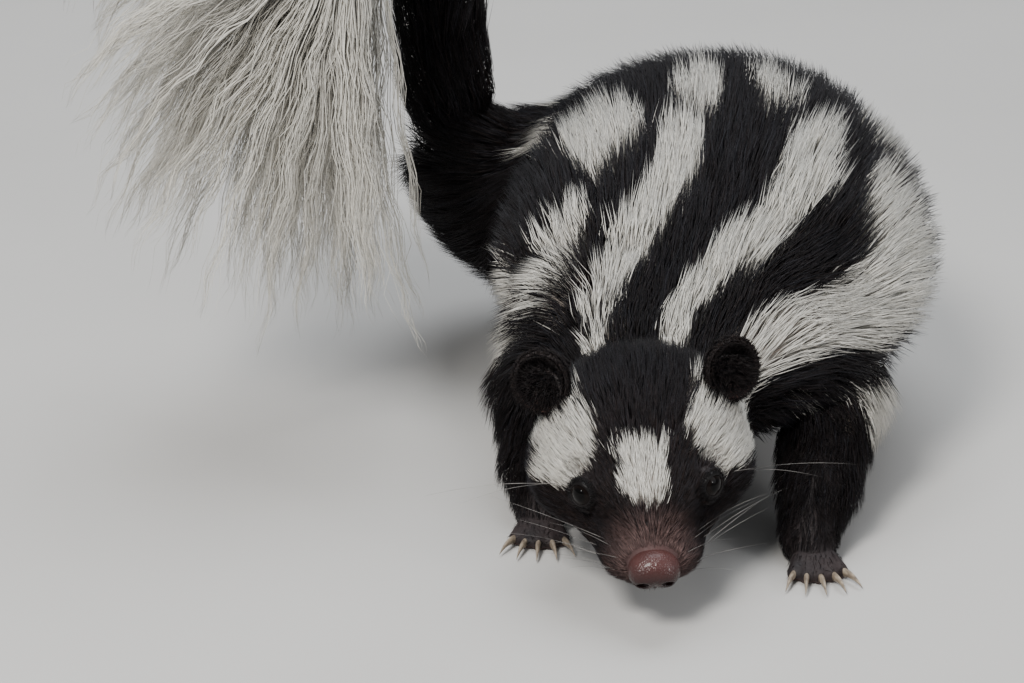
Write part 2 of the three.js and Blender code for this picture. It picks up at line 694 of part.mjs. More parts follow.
// A flat lock along a path, with a four-sided section that tapers to the tip
function lockSolid(path, facing, width, thickness, steps) {
  const positions = [];
  const index = [];
  const SECTION = 4;
  for (let i = 0; i < steps; i += 1) {
    const t = i / steps;
    const along = path.getTangent(t);
    const across = new THREE.Vector3().crossVectors(along, facing).normalize();
    const flat = new THREE.Vector3().crossVectors(across, along);
    const fill = Math.min(1, 0.55 + 1.4 * t) * (1 - 0.75 * t ** 2.2);
    for (const [u, v] of [[1, 0], [0, 1], [-1, 0], [0, -1]]) {
      const corner = path.getPoint(t)
        .addScaledVector(across, (u * width * fill) / 2)
        .addScaledVector(flat, (v * thickness * Math.sqrt(fill)) / 2);
      positions.push(...corner.toArray());
    }
  }
  const last = (steps - 1) * SECTION;
  positions.push(...path.getPoint(1).toArray());
  for (let i = 0; i < SECTION; i += 1) {
    const next = (i + 1) % SECTION;
    for (let ring = 0; ring < last; ring += SECTION) {
      index.push(ring + i, ring + SECTION + i, ring + next);
      index.push(ring + next, ring + SECTION + i, ring + SECTION + next);
    }
    index.push(last + i, last + SECTION, last + next);
  }
  index.push(0, 1, 2, 0, 2, 3);
  const geometry = new THREE.BufferGeometry();
  geometry.setAttribute('position', new THREE.Float32BufferAttribute(positions, 3));
  geometry.setIndex(index);
  return solidOf(geometry);
}

function tailFrame(t) {
  const i = Math.min(Math.floor(t), tail.length - 2);
  const from = tail[i];
  const to = tail[i + 1];
  const blend = t - i;
  const along = from.along.clone().lerp(to.along, blend).normalize();
  const side = new THREE.Vector3(1, 0, 0).addScaledVector(along, -along.x).normalize();
  return {
    at: from.at.clone().lerp(to.at, blend),
    radius: from.size.x + (to.size.x - from.size.x) * blend,
    along,
    side,
    back: new THREE.Vector3().crossVectors(along, side),
  };
}

function aroundTail(frame, angle) {
  return frame.side.clone().multiplyScalar(Math.cos(angle)).addScaledVector(frame.back, Math.sin(angle));
}

// Short black locks: each starts inside the core and reaches the fur's surface before the next cut
function blackLocks(start, end) {
  const locks = [];
  BLACK_TIERS.forEach((tier, row) => {
    for (let i = 0; i < BLACK_LOCKS_ROUND; i += 1) {
      const angle = ((i + row / 2 + between(-0.15, 0.15)) / BLACK_LOCKS_ROUND) * 2 * Math.PI;
      const from = start + (end - start) * tier;
      const to = start + (end - start) * between(0.88, 0.95);
      const points = [0, 0.35, 0.7, 1].map((u) => {
        const frame = tailFrame(from + (to - from) * u);
        const rise = TAIL_CORE_SHARE * 0.75 + (1 - TAIL_CORE_SHARE * 0.75) * u ** 0.8;
        return frame.at.addScaledVector(aroundTail(frame, angle), frame.radius * rise);
      });
      const facing = aroundTail(tailFrame((from + to) / 2), angle);
      const path = new THREE.CatmullRomCurve3(points);
      locks.push(lockSolid(path, facing, BLACK_LOCK_WIDTH, BLACK_LOCK_THICKNESS, 3));
    }
  });
  return locks;
}

// Long white locks: they leave the tail along its length, fan out to the right and droop as they go
function whiteLocks(start, end) {
  const locks = [];
  seed = PLUME_SEED;
  for (let i = 0; i < PLUME_LOCKS; i += 1) {
    const row = Math.floor(i / PLUME_LAYERS);
    const spread = (row + 0.5 + between(-0.45, 0.45)) / (PLUME_LOCKS / PLUME_LAYERS);
    const fan = THREE.MathUtils.lerp(...PLUME_FAN, spread);
    const layer = ((i % PLUME_LAYERS) + between(0.1, 0.9)) / PLUME_LAYERS;
    const frame = tailFrame(end - (end - start) * 0.95 * layer);
    const forward = THREE.MathUtils.lerp(...PLUME_FORWARD, between(0, 1));
    const aim = new THREE.Vector3(-Math.sin(fan), -forward, -Math.cos(fan)).normalize();
    const length = (PLUME_LENGTH - PLUME_LENGTH_LOSS * Math.max(fan, 0)) * between(0.84, 1);
    const leave = frame.along.clone().addScaledVector(aim, 0.8).normalize();
    const root = frame.at.clone().addScaledVector(aim, frame.radius * TAIL_CORE_SHARE * 0.3);
    const droop = length * PLUME_DROOP * Math.sin(Math.max(fan, 0));
    const path = new THREE.CubicBezierCurve3(
      root,
      root.clone().addScaledVector(leave, length * 0.3),
      root.clone().addScaledVector(aim, length * 0.62).addScaledVector(leave, length * 0.12),
      root.clone().addScaledVector(aim, length * 0.97).addScaledVector(UP, -droop),
    );
    const facing = new THREE.Vector3(between(-0.5, 0.5), -1, between(-0.2, 0.8)).normalize();
    locks.push(lockSolid(path, facing, between(...PLUME_WIDTH), PLUME_THICKNESS, 4));
  }
  return locks;
}

function buildTail() {
  const share = (i) => {
    const narrowing = THREE.MathUtils.smoothstep(i, TAIL_CUTS[0], TAIL_CUTS[1]);
    return THREE.MathUtils.lerp(1, TAIL_CORE_SHARE, narrowing);
  };
  const field = chainField(tailLinks(share), 0);
  const box = new THREE.Box3().setFromPoints(tail.map((station) => station.at)).expandByScalar(30);
  let rest = solidOf(meshField(field, box.min, box.max, TAIL_CELL));
  rest = rest.intersect(beyond(tail[TAIL_CUTS[0]].at, tail[TAIL_CUTS[0]].along, GAP / 2));
  for (let n = 1; n < TAIL_CUTS.length; n += 1) {
    const { at, along } = tail[TAIL_CUTS[n]];
    let piece = rest.subtract(beyond(at, along, -GAP / 2));
    for (const lock of blackLocks(TAIL_CUTS[n - 1], TAIL_CUTS[n])) {
      piece = piece.add(lock);
    }
    addNode(skunk, `tail_${n}`, piece, BLACK_FUR);
    rest = rest.intersect(beyond(at, along, GAP / 2));
  }
  for (const lock of whiteLocks(TAIL_CUTS[TAIL_CUTS.length - 1], tail.length - 1)) {
    rest = rest.add(lock);
  }
  addNode(skunk, 'tail_plume', rest, WHITE_FUR);
}

buildTail();

const overall = new THREE.Box3().setFromObject(skunk, true);
const centre = overall.getCenter(new THREE.Vector3());
skunk.position.set(-centre.x, -centre.y, -overall.min.z);

export default skunk;
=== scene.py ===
"""Eastern spotted skunk, life size: skin, coat, plume, head details, floor, lights and camera.

Every number named *_MM and every point list is in millimetres in the modelling frame:
nose towards -Y, +Z up, +X the animal's left at the head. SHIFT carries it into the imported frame.
"""

from math import cos, pi, radians, sin

import bpy
import numpy as np
from mathutils import Matrix, Vector, kdtree


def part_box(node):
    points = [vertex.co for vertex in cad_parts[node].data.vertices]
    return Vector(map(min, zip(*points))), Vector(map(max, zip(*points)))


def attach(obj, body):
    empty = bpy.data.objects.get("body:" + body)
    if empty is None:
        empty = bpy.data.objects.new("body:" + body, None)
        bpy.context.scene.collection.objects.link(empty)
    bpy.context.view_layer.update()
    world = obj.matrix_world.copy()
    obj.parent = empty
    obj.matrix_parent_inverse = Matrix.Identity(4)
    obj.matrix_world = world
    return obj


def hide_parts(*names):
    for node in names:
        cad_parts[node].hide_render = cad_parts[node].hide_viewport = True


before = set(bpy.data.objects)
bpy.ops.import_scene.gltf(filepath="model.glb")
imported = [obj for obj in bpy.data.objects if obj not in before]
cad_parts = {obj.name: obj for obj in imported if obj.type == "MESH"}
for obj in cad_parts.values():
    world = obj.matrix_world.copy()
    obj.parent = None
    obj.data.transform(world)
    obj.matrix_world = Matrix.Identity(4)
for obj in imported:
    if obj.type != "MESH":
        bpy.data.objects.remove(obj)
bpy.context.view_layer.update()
rng = np.random.default_rng(20)

# ---- The head's frame and the eyes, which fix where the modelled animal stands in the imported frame

NOSE_AT = np.array([30.3, 0.0, 14.5])
HEAD_PITCH, HEAD_YAW, HEAD_ROLL = radians(28), radians(4), radians(3.8)
EYE_RADIUS = 3.8
EYE_CENTRE = np.array([12.416, 19.924, 5.784])
EYE_OUTWARD = np.array([0.631, -0.631, 0.451])
SOCKET_RADIUS = 3.1
SLIT_WIDE, SLIT_HIGH = 1.08, 0.94
SIDES = {"left": 1.0, "right": -1.0}


def turn(axis, angle):
    return np.array(Matrix.Rotation(angle, 3, axis))


HEAD_TURN = turn("Z", HEAD_YAW) @ turn("X", HEAD_PITCH) @ turn("Y", -HEAD_ROLL)


def into_head(p):
    return (p - NOSE_AT) @ HEAD_TURN


def out_of_head(q):
    return np.asarray(q, float) @ HEAD_TURN.T + NOSE_AT


eye_low, eye_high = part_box("eye_left")
SHIFT = np.array((eye_low + eye_high) / 2) * 1000 - out_of_head(EYE_CENTRE)


def metres(p):
    return (np.asarray(p, float) + SHIFT) * 0.001


# ---- Sizes of the body: centre line, sections over the coat, and the coat's depth

SPINE = np.array([
    # x, y, z, half width, height above, depth below, coat
    (30.5, 40, 34, 20, 15, 17, 4),
    (33.0, 55, 36, 29, 17, 19, 7),
    (39.0, 73, 41, 43, 20, 24, 10),
    (45.5, 94, 45, 54, 28, 28, 12),
    (50.0, 117, 49, 55, 36, 30, 13),
    (50.5, 139, 51, 50, 38, 31, 13),
    (41.0, 157, 50, 45, 32, 31, 13),
    (23.0, 167, 46, 40, 24, 30, 12),
    (5.0, 170, 43, 33, 22, 27, 11),
    (-9.0, 169, 47, 22, 17, 18, 8),
])
TAIL = np.array([
    # x, y, z, radius over the coat, coat
    (-2, 169, 46, 18, 9),
    (-12, 169, 57, 15.5, 8.8),
    (-17, 169, 78, 14, 8.6),
    (-19, 166, 102, 13.5, 8.4),
    (-22, 157, 124, 12.5, 7.8),
    (-27, 141, 138, 11, 6.8),
    (-33, 122, 139, 9, 5.4),
    (-38, 105, 130, 6, 3.4),
])
LEGS = {
    # joint x, y, z, radius over the coat, coat
    "front_left": [(60, 72, 42, 18.5, 8.5), (74, 70, 27, 14.5, 7), (70, 50, 14, 10.4, 4.4), (67, 39, 6, 7, 1.5)],
    "front_right": [(16, 76, 40, 18.5, 8.5), (8, 78, 26, 14.5, 7), (7, 64, 13, 10.4, 4.4), (7, 56, 6, 7, 1.5)],
    "hind_left": [(34, 184, 40, 22, 10), (50, 190, 27, 16, 7), (42, 198, 13, 8.2, 2.7), (50, 195, 6, 6.4, 1.1)],
    "hind_right": [(16, 150, 40, 22, 10), (28, 145, 26, 16, 7), (12, 146, 13, 8.2, 2.7), (19, 143, 6, 6.4, 1.1)],
}
TOE_TURN = {"front_left": 6, "front_right": -4, "hind_left": 62, "hind_right": 55}
CLAW_LENGTH = {"front_left": 7.0, "front_right": 7.0, "hind_left": 4.6, "hind_right": 4.6}
PALM, PALM_HEIGHT = (6.2, 8.2, 4.6), 3.6
TOE_COUNT, TOE_RADIUS, TOE_ROOT, TOE_LENGTH, TOE_HEIGHT = 5, 2.1, 4.5, 6.5, 1.6
TOE_FAN = radians(13)
MOUTH = np.array([[0, 1.6, -5.4], [3, 3.4, -6.4], [6.6, 7.4, -7.2], [9.6, 12, -7], [11.5, 16.8, -5.8]])

# ---- Distance fields on arrays of points


def share(x):
    return np.clip(x, 0, 1)


def smooth_min(a, b, reach):
    h = share(0.5 + 0.5 * (b - a) / reach)
    return b * (1 - h) + a * h - reach * h * (1 - h)


def smooth_max(a, b, reach):
    return -smooth_min(-a, -b, reach)


def norm(v):
    return np.sqrt(np.einsum("...i,...i->...", v, v))


def unit(v):
    return v / np.maximum(norm(v), 1e-9)[..., None]


def taper(p, a, b, ra, rb):
    a, b = np.asarray(a, float), np.asarray(b, float)
    ab = b - a
    t = share(((p - a) @ ab) / (ab @ ab))
    return norm(p - a - t[:, None] * ab) - (ra + (rb - ra) * t)


def oval(x, y, z, a, b, c):
    near = np.sqrt((x / a) ** 2 + (y / b) ** 2 + (z / c) ** 2)
    far = np.sqrt((x / a**2) ** 2 + (y / b**2) ** 2 + (z / c**2) ** 2) + 1e-9
    return near * (near - 1) / far


def ellipsoid(p, centre, radii):
    q = p - np.asarray(centre, float)
    return oval(q[:, 0], q[:, 1], q[:, 2], *radii)


def catmull(points, steps):
    points = np.asarray(points, float)
    ends = np.vstack([2 * points[0] - points[1], points, 2 * points[-1] - points[-2]])
    out = []
    for p0, p1, p2, p3 in zip(ends, ends[1:], ends[2:], ends[3:]):
        for t in np.arange(steps) / steps:
            out.append(0.5 * (2 * p1 + (p2 - p0) * t + (2 * p0 - 5 * p1 + 4 * p2 - p3) * t**2
                              + (3 * p1 - p0 - 3 * p2 + p3) * t**3))
    out.append(points[-1])
    return np.array(out)


def axis_frames(line):
    along = unit(np.gradient(line[:, :3], axis=0))
    up = unit(np.array([0, 0, 1.0]) - along * along[:, 2:3])
    return along, np.cross(along, up), up


spine = catmull(SPINE, 4)
spine_along, spine_left, spine_up = axis_frames(spine)
tail = catmull(TAIL, 3)


def trunk_field(p, coat):
    best = np.full(len(p), 1e9)
    for i in range(len(spine) - 1):
        a, b = spine[i], spine[i + 1]
        ab = b[:3] - a[:3]
        t = share(((p - a[:3]) @ ab) / (ab @ ab))
        o = p - a[:3] - t[:, None] * ab
        x = (o @ spine_left[i]) * (1 - t) + (o @ spine_left[i + 1]) * t
        z = (o @ spine_up[i]) * (1 - t) + (o @ spine_up[i + 1]) * t
        size = a + (b - a) * t[:, None]
        deep = coat * size[:, 6]
        half = size[:, 3] - deep
        height = np.where(z > 0, size[:, 4] - deep, size[:, 5] - 0.7 * deep)
        best = np.minimum(best, oval(x, o @ spine_along[i], z, half, np.minimum(half, height), height))
    return best


def limb_field(p, leg, coat, links=3):
    d = np.full(len(p), 1e6)
    for a, b in list(zip(leg, leg[1:]))[:links]:
        d = smooth_min(d, taper(p, a[:3], b[:3], a[3] - coat * a[4], b[3] - coat * b[4]), 3)
    return d


def tail_field(p, coat):
    d = np.full(len(p), 1e6)
    for a, b in zip(tail, tail[1:]):
        d = np.minimum(d, taper(p, a[:3], b[:3], a[3] - coat * a[4], b[3] - coat * b[4]))
    return d


def head_field(p, coat):
    q = into_head(p)
    q[:, 0] = np.abs(q[:, 0])
    e = coat
    d = taper(q, (0, 6.5, -1.4), (0, 19, 0), 6.2 - 0.9 * e, 12.2 - 1.8 * e)
    d = smooth_min(d, ellipsoid(q, (4.4, 9.5, -2.7), (7 - e, 7.4 - e, 5.6 - e)), 2.7)
    d = smooth_min(d, ellipsoid(q, (0, 21.6, 4), (13.5 - 2 * e, 13.5 - 2 * e, 9.5 - 2 * e)), 5.4)
    d = smooth_min(d, ellipsoid(q, (0, 37, 4.5), (21.2 - 3.6 * e, 20 - 3.6 * e, 14.4 - 3.6 * e)), 5.4)
    d = smooth_min(d, ellipsoid(q, (12.6, 33.3, -2.7), (13 - 2.6 * e, 15.3 - 2.4 * e, 11.7 - 2.8 * e)), 5.4)
    d = smooth_min(d, taper(q, (7, 12.5, -3.4), (13, 24, -3), 5 - 1.3 * e, 6 - 1.6 * e), 3)
    return smooth_min(d, taper(q, (0, 7.2, -6.3), (0, 27, -8.1), 3.2 - 0.9 * e, 9 - 2.7 * e), 3.6)


def toe_line(index):
    angle = (index - (TOE_COUNT - 1) / 2) * TOE_FAN
    outward = np.array([sin(angle), -cos(angle), 0])
    length = TOE_LENGTH + 1.6 * cos(angle * 2.5)
    root = outward * TOE_ROOT + np.array([0, 0, TOE_HEIGHT * 1.8])
    tip = outward * (TOE_ROOT + length) + np.array([0, 0, TOE_HEIGHT])
    return outward, root, tip


def paw_frame(name):
    return np.array([*LEGS[name][3][:2], 0.0]), turn("Z", radians(TOE_TURN[name]))


def paw_field(p, name, shrink):
    at, spin = paw_frame(name)
    q = (p - at) @ spin
    d = ellipsoid(q, (0, 0, PALM_HEIGHT), [r - shrink for r in PALM])
    for i in range(TOE_COUNT):
        _, root, tip = toe_line(i)
        knuckle = root + (tip - root) * 0.45 + np.array([0, 0, 0.5])
        toe = smooth_min(taper(q, root, knuckle, TOE_RADIUS, TOE_RADIUS - 0.15),
                         taper(q, knuckle, tip, TOE_RADIUS - 0.15, TOE_RADIUS - 0.3), 0.4)
        d = smooth_min(d, toe + shrink - 0.3, 0.7)
    return d


def body_field(p, coat):
    limbs = np.full(len(p), 1e6)
    for name, leg in LEGS.items():
        limb = limb_field(p, leg, coat)
        if coat:
            limb = smooth_min(limb, paw_field(p, name, 0.3), 2)
        limbs = np.minimum(limbs, limb)
    d = smooth_min(trunk_field(p, coat), limbs, 10)
    d = smooth_min(d, tail_field(p, coat), 6)
    return smooth_min(d, head_field(p, coat), 7)


# ---- Head details: sockets, lips and the line of the mouth


def eye_frame(side):
    outward = unit(EYE_OUTWARD * [side, 1, 1])
    across = unit(np.cross([0, 0, 1.0], outward))
    return EYE_CENTRE * [side, 1, 1], across, np.cross(outward, across), outward


mouth_line = catmull(np.vstack([(MOUTH * [-1, 1, 1])[::-1][:-1], MOUTH]), 3)


def onto_head_line(line, lift):
    """A line in the head's frame, dropped onto the skin of the head."""
    q = out_of_head(line + np.array([0, 0, lift]))
    for _ in range(5):
        q = q - gradient(lambda x: head_field(x, 1), q) * head_field(q, 1)[:, None]
    return into_head(q)


def gradient(field, p, step=0.25):
    out = np.empty_like(p)
    for k in range(3):
        offset = np.zeros(3)
        offset[k] = step
        out[:, k] = field(p + offset) - field(p - offset)
    return unit(out)


mouth_groove = onto_head_line(mouth_line, 0.0)
lip_lines = [onto_head_line(mouth_line, lift) for lift in (0.9, -0.9)]


def line_distance(q, line, radius):
    best = np.full(len(q), 1e6)
    for a, b in zip(line, line[1:]):
        best = np.minimum(best, taper(q, a, b, radius, radius))
    return best


def with_head_details(p, d):
    near = head_field(p, 1) < 4
    if not near.any():
        return d
    q = into_head(p[near])
    e = d[near]
    for lip in lip_lines:
        e = smooth_min(e, line_distance(q, lip, 0.75), 1.2)
    e = smooth_max(e, -line_distance(q, mouth_groove, 0.3), 0.5)
    for side in SIDES.values():
        centre, across, upward, outward = eye_frame(side)
        o = q - centre
        x, y, z = o @ across, o @ upward, o @ outward
        slit = np.sqrt((x / SLIT_WIDE) ** 2 + (y / SLIT_HIGH) ** 2)
        # The skin sinks round the eye and bulges over the ball, with a hole that the lids cover
        hollow = 0.35 * np.exp(-((slit - 5.6) / 1.3) ** 2)
        e = e + hollow * (np.abs(z) < 6)
        e = smooth_min(e, norm(o) - EYE_RADIUS - 0.1, 1.0)
        e = np.maximum(e, np.where(z > 0, SOCKET_RADIUS - slit, -9.0))
    out = d.copy()
    out[near] = e
    return out


def skin_field(p):
    d = with_head_details(p, body_field(p, 1.0))
    return smooth_max(d, 0.12 - p[:, 2], 0.3)


# ---- Surface nets on a grid that is finer where the animal needs it


def in_chunks(field, p, size=150000):
    return np.concatenate([field(p[i:i + size]) for i in range(0, len(p), size)]) if len(p) else np.zeros(0)


def graded(*stretches):
    """Grid lines from stretches of (start, end, step)."""
    lines = [np.arange(a, b, step) for a, b, step in stretches]
    return np.append(np.concatenate(lines), stretches[-1][1])


def sampled(field, axes, block=4):
    """Field values on the grid; blocks whose centre is far from the surface keep the centre's value."""
    grid_cells = [a[np.minimum(np.arange(0, len(a) + block, block), len(a) - 1)] for a in axes]
    mids = [(g[:-1] + g[1:]) / 2 for g in grid_cells]
    halves = [(g[1:] - g[:-1]) / 2 for g in grid_cells]
    centres = np.stack(np.meshgrid(*mids, indexing="ij"), -1).reshape(-1, 3)
    reach = np.sqrt(sum(h**2 for h in np.meshgrid(*halves, indexing="ij"))).ravel()
    rough = in_chunks(field, centres)
    shape = [len(m) for m in mids]
    close = (np.abs(rough) < reach * 1.5 + 2.5).reshape(shape)
    values = rough.reshape(shape)
    for k in range(3):
        values = np.repeat(values, block, axis=k)
        close = np.repeat(close, block, axis=k)
    cut = tuple(slice(0, len(a)) for a in axes)
    values, close = values[cut].copy(), close[cut]
    where = np.argwhere(close)
    points = np.stack([axes[k][where[:, k]] for k in range(3)], -1)
    values[close] = in_chunks(field, points)
    return values


def nets(field, axes, polish=2):
    """Vertices and quads of the surface where the field is zero, set onto it by a few Newton steps."""
    v = sampled(field, axes)
    v[[0, -1]] = np.maximum(v[[0, -1]], 0.1)
    v[:, [0, -1]] = np.maximum(v[:, [0, -1]], 0.1)
    v[:, :, [0, -1]] = np.maximum(v[:, :, [0, -1]], 0.1)
    inside = v < 0
    n = [s - 1 for s in v.shape]
    total = np.zeros(n, np.int8)
    for a in (0, 1):
        for b in (0, 1):
            for c in (0, 1):
                total += inside[a:a + n[0], b:b + n[1], c:c + n[2]]
    cells = np.argwhere((total > 0) & (total < 8))
    low = np.stack([axes[k][cells[:, k]] for k in range(3)], -1)
    high = np.stack([axes[k][cells[:, k] + 1] for k in range(3)], -1)
    sums, counts = np.zeros((len(cells), 3)), np.zeros(len(cells))
    for corner in range(8):
        for bit in (1, 2, 4):
            other = corner | bit
            if other == corner:
                continue
            ca = np.array([corner & 1, corner >> 1 & 1, corner >> 2 & 1])
            cb = np.array([other & 1, other >> 1 & 1, other >> 2 & 1])
            va, vb = v[tuple((cells + ca).T)], v[tuple((cells + cb).T)]
            crosses = (va < 0) != (vb < 0)
            t = np.where(crosses, va / np.where(crosses, va - vb, 1), 0)[:, None]
            sums += np.where(crosses[:, None], low + (high - low) * (ca + (cb - ca) * t), 0)
            counts += crosses
    points = sums / counts[:, None]
    for _ in range(polish):
        value = in_chunks(field, points)
        slope = in_chunks(lambda x: gradient(field, x), points, 60000)
        points = points - slope * np.clip(value, -1.2, 1.2)[:, None]
    index = np.full(n, -1, np.int64)
    index[tuple(cells.T)] = np.arange(len(cells))
    quads = []
    for axis, (u, w) in enumerate(((1, 2), (2, 0), (0, 1))):
        ahead = [slice(None)] * 3
        ahead[axis] = slice(1, None)
        behind = [slice(None)] * 3
        behind[axis] = slice(0, -1)
        a, b = inside[tuple(behind)], inside[tuple(ahead)]
        edges = np.argwhere(a != b)
        edges = edges[(edges[:, u] > 0) & (edges[:, w] > 0) & (edges[:, u] < n[u]) & (edges[:, w] < n[w])]
        du, dw = np.eye(3, dtype=int)[u], np.eye(3, dtype=int)[w]
        ring = [index[tuple((edges - du - dw).T)], index[tuple((edges - dw).T)],
                index[tuple(edges.T)], index[tuple((edges - du).T)]]
        faces = np.stack(ring, -1)
        flip = ~a[tuple(edges.T)]
        faces[flip] = faces[flip][:, ::-1]
        quads.append(faces)
    quads = np.concatenate(quads)
    quads = quads[(quads >= 0).all(1)]
    return points, quads


# ---- Blender meshes from arrays


def new_mesh(name, points, faces, colours=None, uv=None):
    """points in millimetres; faces an (n, 3) or (n, 4) array; a colour for each vertex."""
    faces = np.asarray(faces)
    mesh = bpy.data.meshes.new(name)
    mesh.vertices.add(len(points))
    mesh.vertices.foreach_set("co", metres(points).astype(np.float32).ravel())
    sides = faces.shape[1]
    mesh.loops.add(faces.size)
    mesh.loops.foreach_set("vertex_index", faces.astype(np.int32).ravel())
    mesh.polygons.add(len(faces))
    mesh.polygons.foreach_set("loop_start", np.arange(0, faces.size, sides, dtype=np.int32))
    mesh.polygons.foreach_set("use_smooth", np.full(len(faces), True))
    if colours is not None:
        layer = mesh.attributes.new("coat", "FLOAT_COLOR", "POINT")
        rgba = np.ones((len(points), 4), np.float32)
        rgba[:, :3] = colours
        layer.data.foreach_set("color", rgba.ravel())
    if uv is not None:
        layer = mesh.uv_layers.new(name="OFBake")
        layer.data.foreach_set("uv", uv[faces.ravel()].astype(np.float32).ravel())
    mesh.update(calc_edges=True)
    mesh.validate(clean_customdata=False)
    piece = bpy.data.objects.new(name, mesh)
    bpy.context.scene.collection.objects.link(piece)
    return piece


def finished(piece, material, slot=None, replaces=()):
    piece.data.materials.clear()
    piece.data.materials.append(material)
    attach(piece, "root")
    if replaces:
        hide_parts(*replaces)
    return piece


# ---- Materials


class Nodes:
    """A small helper that makes nodes of one material and links them."""

    def __init__(self, name):
        self.material = bpy.data.materials.new(name)
        self.material.use_nodes = True
        self.tree = self.material.node_tree
        self.shader = self.tree.nodes["Principled BSDF"]

    def add(self, kind, values=None, **props):
        node = self.tree.nodes.new(kind)
        for key, value in props.items():
            setattr(node, key, value)
        for key, value in (values or {}).items():
            if isinstance(value, bpy.types.NodeSocket):
                self.tree.links.new(value, node.inputs[key])
            else:
                node.inputs[key].default_value = value
        return node

    def feed(self, socket, value):
        if isinstance(value, bpy.types.NodeSocket):
            self.tree.links.new(value, self.shader.inputs[socket])
        else:
            self.shader.inputs[socket].default_value = value

    def noise(self, scale, detail=4.0, rough=0.55, stretch=(1, 1, 1)):
        where = self.add("ShaderNodeTexCoord").outputs["Object"]
        where = self.add("ShaderNodeMapping", {"Vector": where, "Scale": stretch}).outputs[0]
        return self.add("ShaderNodeTexNoise", {"Vector": where, "Scale": scale, "Detail": detail,
                                               "Roughness": rough}).outputs["Fac"]

    def ramp(self, factor, low, high, out_low=0.0, out_high=1.0):
        return self.add("ShaderNodeMapRange", {"Value": factor, "From Min": low, "From Max": high,
                                               "To Min": out_low, "To Max": out_high}).outputs[0]

    def mix(self, factor, a, b, blend="MIX"):
        node = self.add("ShaderNodeMix", data_type="RGBA", blend_type=blend)
        for socket, value in ((node.inputs[0], factor), (node.inputs[6], a), (node.inputs[7], b)):
            if isinstance(value, bpy.types.NodeSocket):
                self.tree.links.new(value, socket)
            else:
                socket.default_value = value
        return node.outputs[2]

    def colour(self):
        return self.add("ShaderNodeAttribute", attribute_name="coat").outputs["Color"]

    def bump(self, height, strength, distance):
        node = self.add("ShaderNodeBump", {"Height": height, "Strength": strength, "Distance": distance})
        self.feed("Normal", node.outputs[0])


def coat_material(name, roughness, sheen, specular):
    m = Nodes(name)
    streak = m.noise(900.0, 2.0)
    tint = m.mix(m.ramp(streak, 0.3, 0.7, 0.0, 0.55), m.colour(), (0.0, 0.0, 0.0, 1.0), "SOFT_LIGHT")
    m.feed("Base Color", tint)
    m.feed("Roughness", m.ramp(streak, 0.3, 0.7, roughness - 0.06, roughness + 0.08))
    m.feed("Specular IOR Level", specular)
    m.feed("Sheen Weight", sheen)
    m.feed("Sheen Roughness", 0.4)
    m.feed("Sheen Tint", (0.80, 0.85, 1.0, 1.0))
    return m.material


def skin_material():
    m = Nodes("skin")
    grain = m.noise(1800.0, 3.0)
    patch = m.noise(120.0, 3.0)
    m.feed("Base Color", m.mix(m.ramp(patch, 0.35, 0.65, 0.0, 0.25), m.colour(), (0.05, 0.03, 0.027, 1.0)))
    m.feed("Roughness", m.ramp(grain, 0.3, 0.7, 0.5, 0.8))
    m.feed("Specular IOR Level", 0.25)
    m.bump(grain, 0.5, 0.0003)
    return m.material


def nose_material():
    m = Nodes("wet_nose")
    pebbles = m.add("ShaderNodeTexVoronoi", {"Vector": m.add("ShaderNodeTexCoord").outputs["Object"],
                                             "Scale": 2400.0}).outputs["Distance"]
    cloud = m.noise(260.0, 4.0)
    m.feed("Base Color", m.mix(m.ramp(cloud, 0.35, 0.75, 0.0, 0.45), m.colour(), (0.022, 0.008, 0.007, 1.0)))
    m.feed("Roughness", m.ramp(cloud, 0.3, 0.7, 0.2, 0.38))
    m.feed("Specular IOR Level", 0.25)
    m.feed("Coat Weight", 0.14)
    m.feed("Coat Roughness", 0.1)
    m.bump(pebbles, 0.55, 0.0002)
    return m.material


def eye_material():
    m = Nodes("dark_eye")
    fibres = m.noise(700.0, 5.0)
    m.feed("Base Color", m.mix(m.ramp(fibres, 0.3, 0.7, 0.0, 0.5), m.colour(), (0.003, 0.002, 0.002, 1.0)))
    m.feed("Roughness", m.ramp(m.noise(60.0), 0.3, 0.7, 0.03, 0.06))
    m.feed("Specular IOR Level", 0.10)
    return m.material


def horn_material():
    m = Nodes("claw_horn")
    rings = m.noise(500.0, 3.0, stretch=(1, 1, 3))
    m.feed("Base Color", m.mix(m.ramp(rings, 0.3, 0.7), (0.11, 0.085, 0.065, 1.0), (0.34, 0.28, 0.21, 1.0)))
    m.feed("Roughness", m.ramp(rings, 0.3, 0.7, 0.3, 0.5))
    m.bump(rings, 0.3, 0.0002)
    return m.material


def ear_material():
    m = Nodes("ear_skin")
    grain = m.noise(1400.0, 4.0)
    m.feed("Base Color", m.mix(m.ramp(grain, 0.35, 0.65, 0.0, 0.4), m.colour(), (0.05, 0.03, 0.028, 1.0)))
    m.feed("Roughness", m.ramp(grain, 0.3, 0.7, 0.55, 0.8))
    m.bump(grain, 0.5, 0.0003)
    return m.material


# ---- Where a point lies on the body: along the spine and round it

fine_spine = catmull(SPINE, 12)
fine_along, fine_left, fine_up = axis_frames(fine_spine)
fine_arc = np.concatenate([[0], np.cumsum(norm(np.diff(fine_spine[:, :3], axis=0)))])


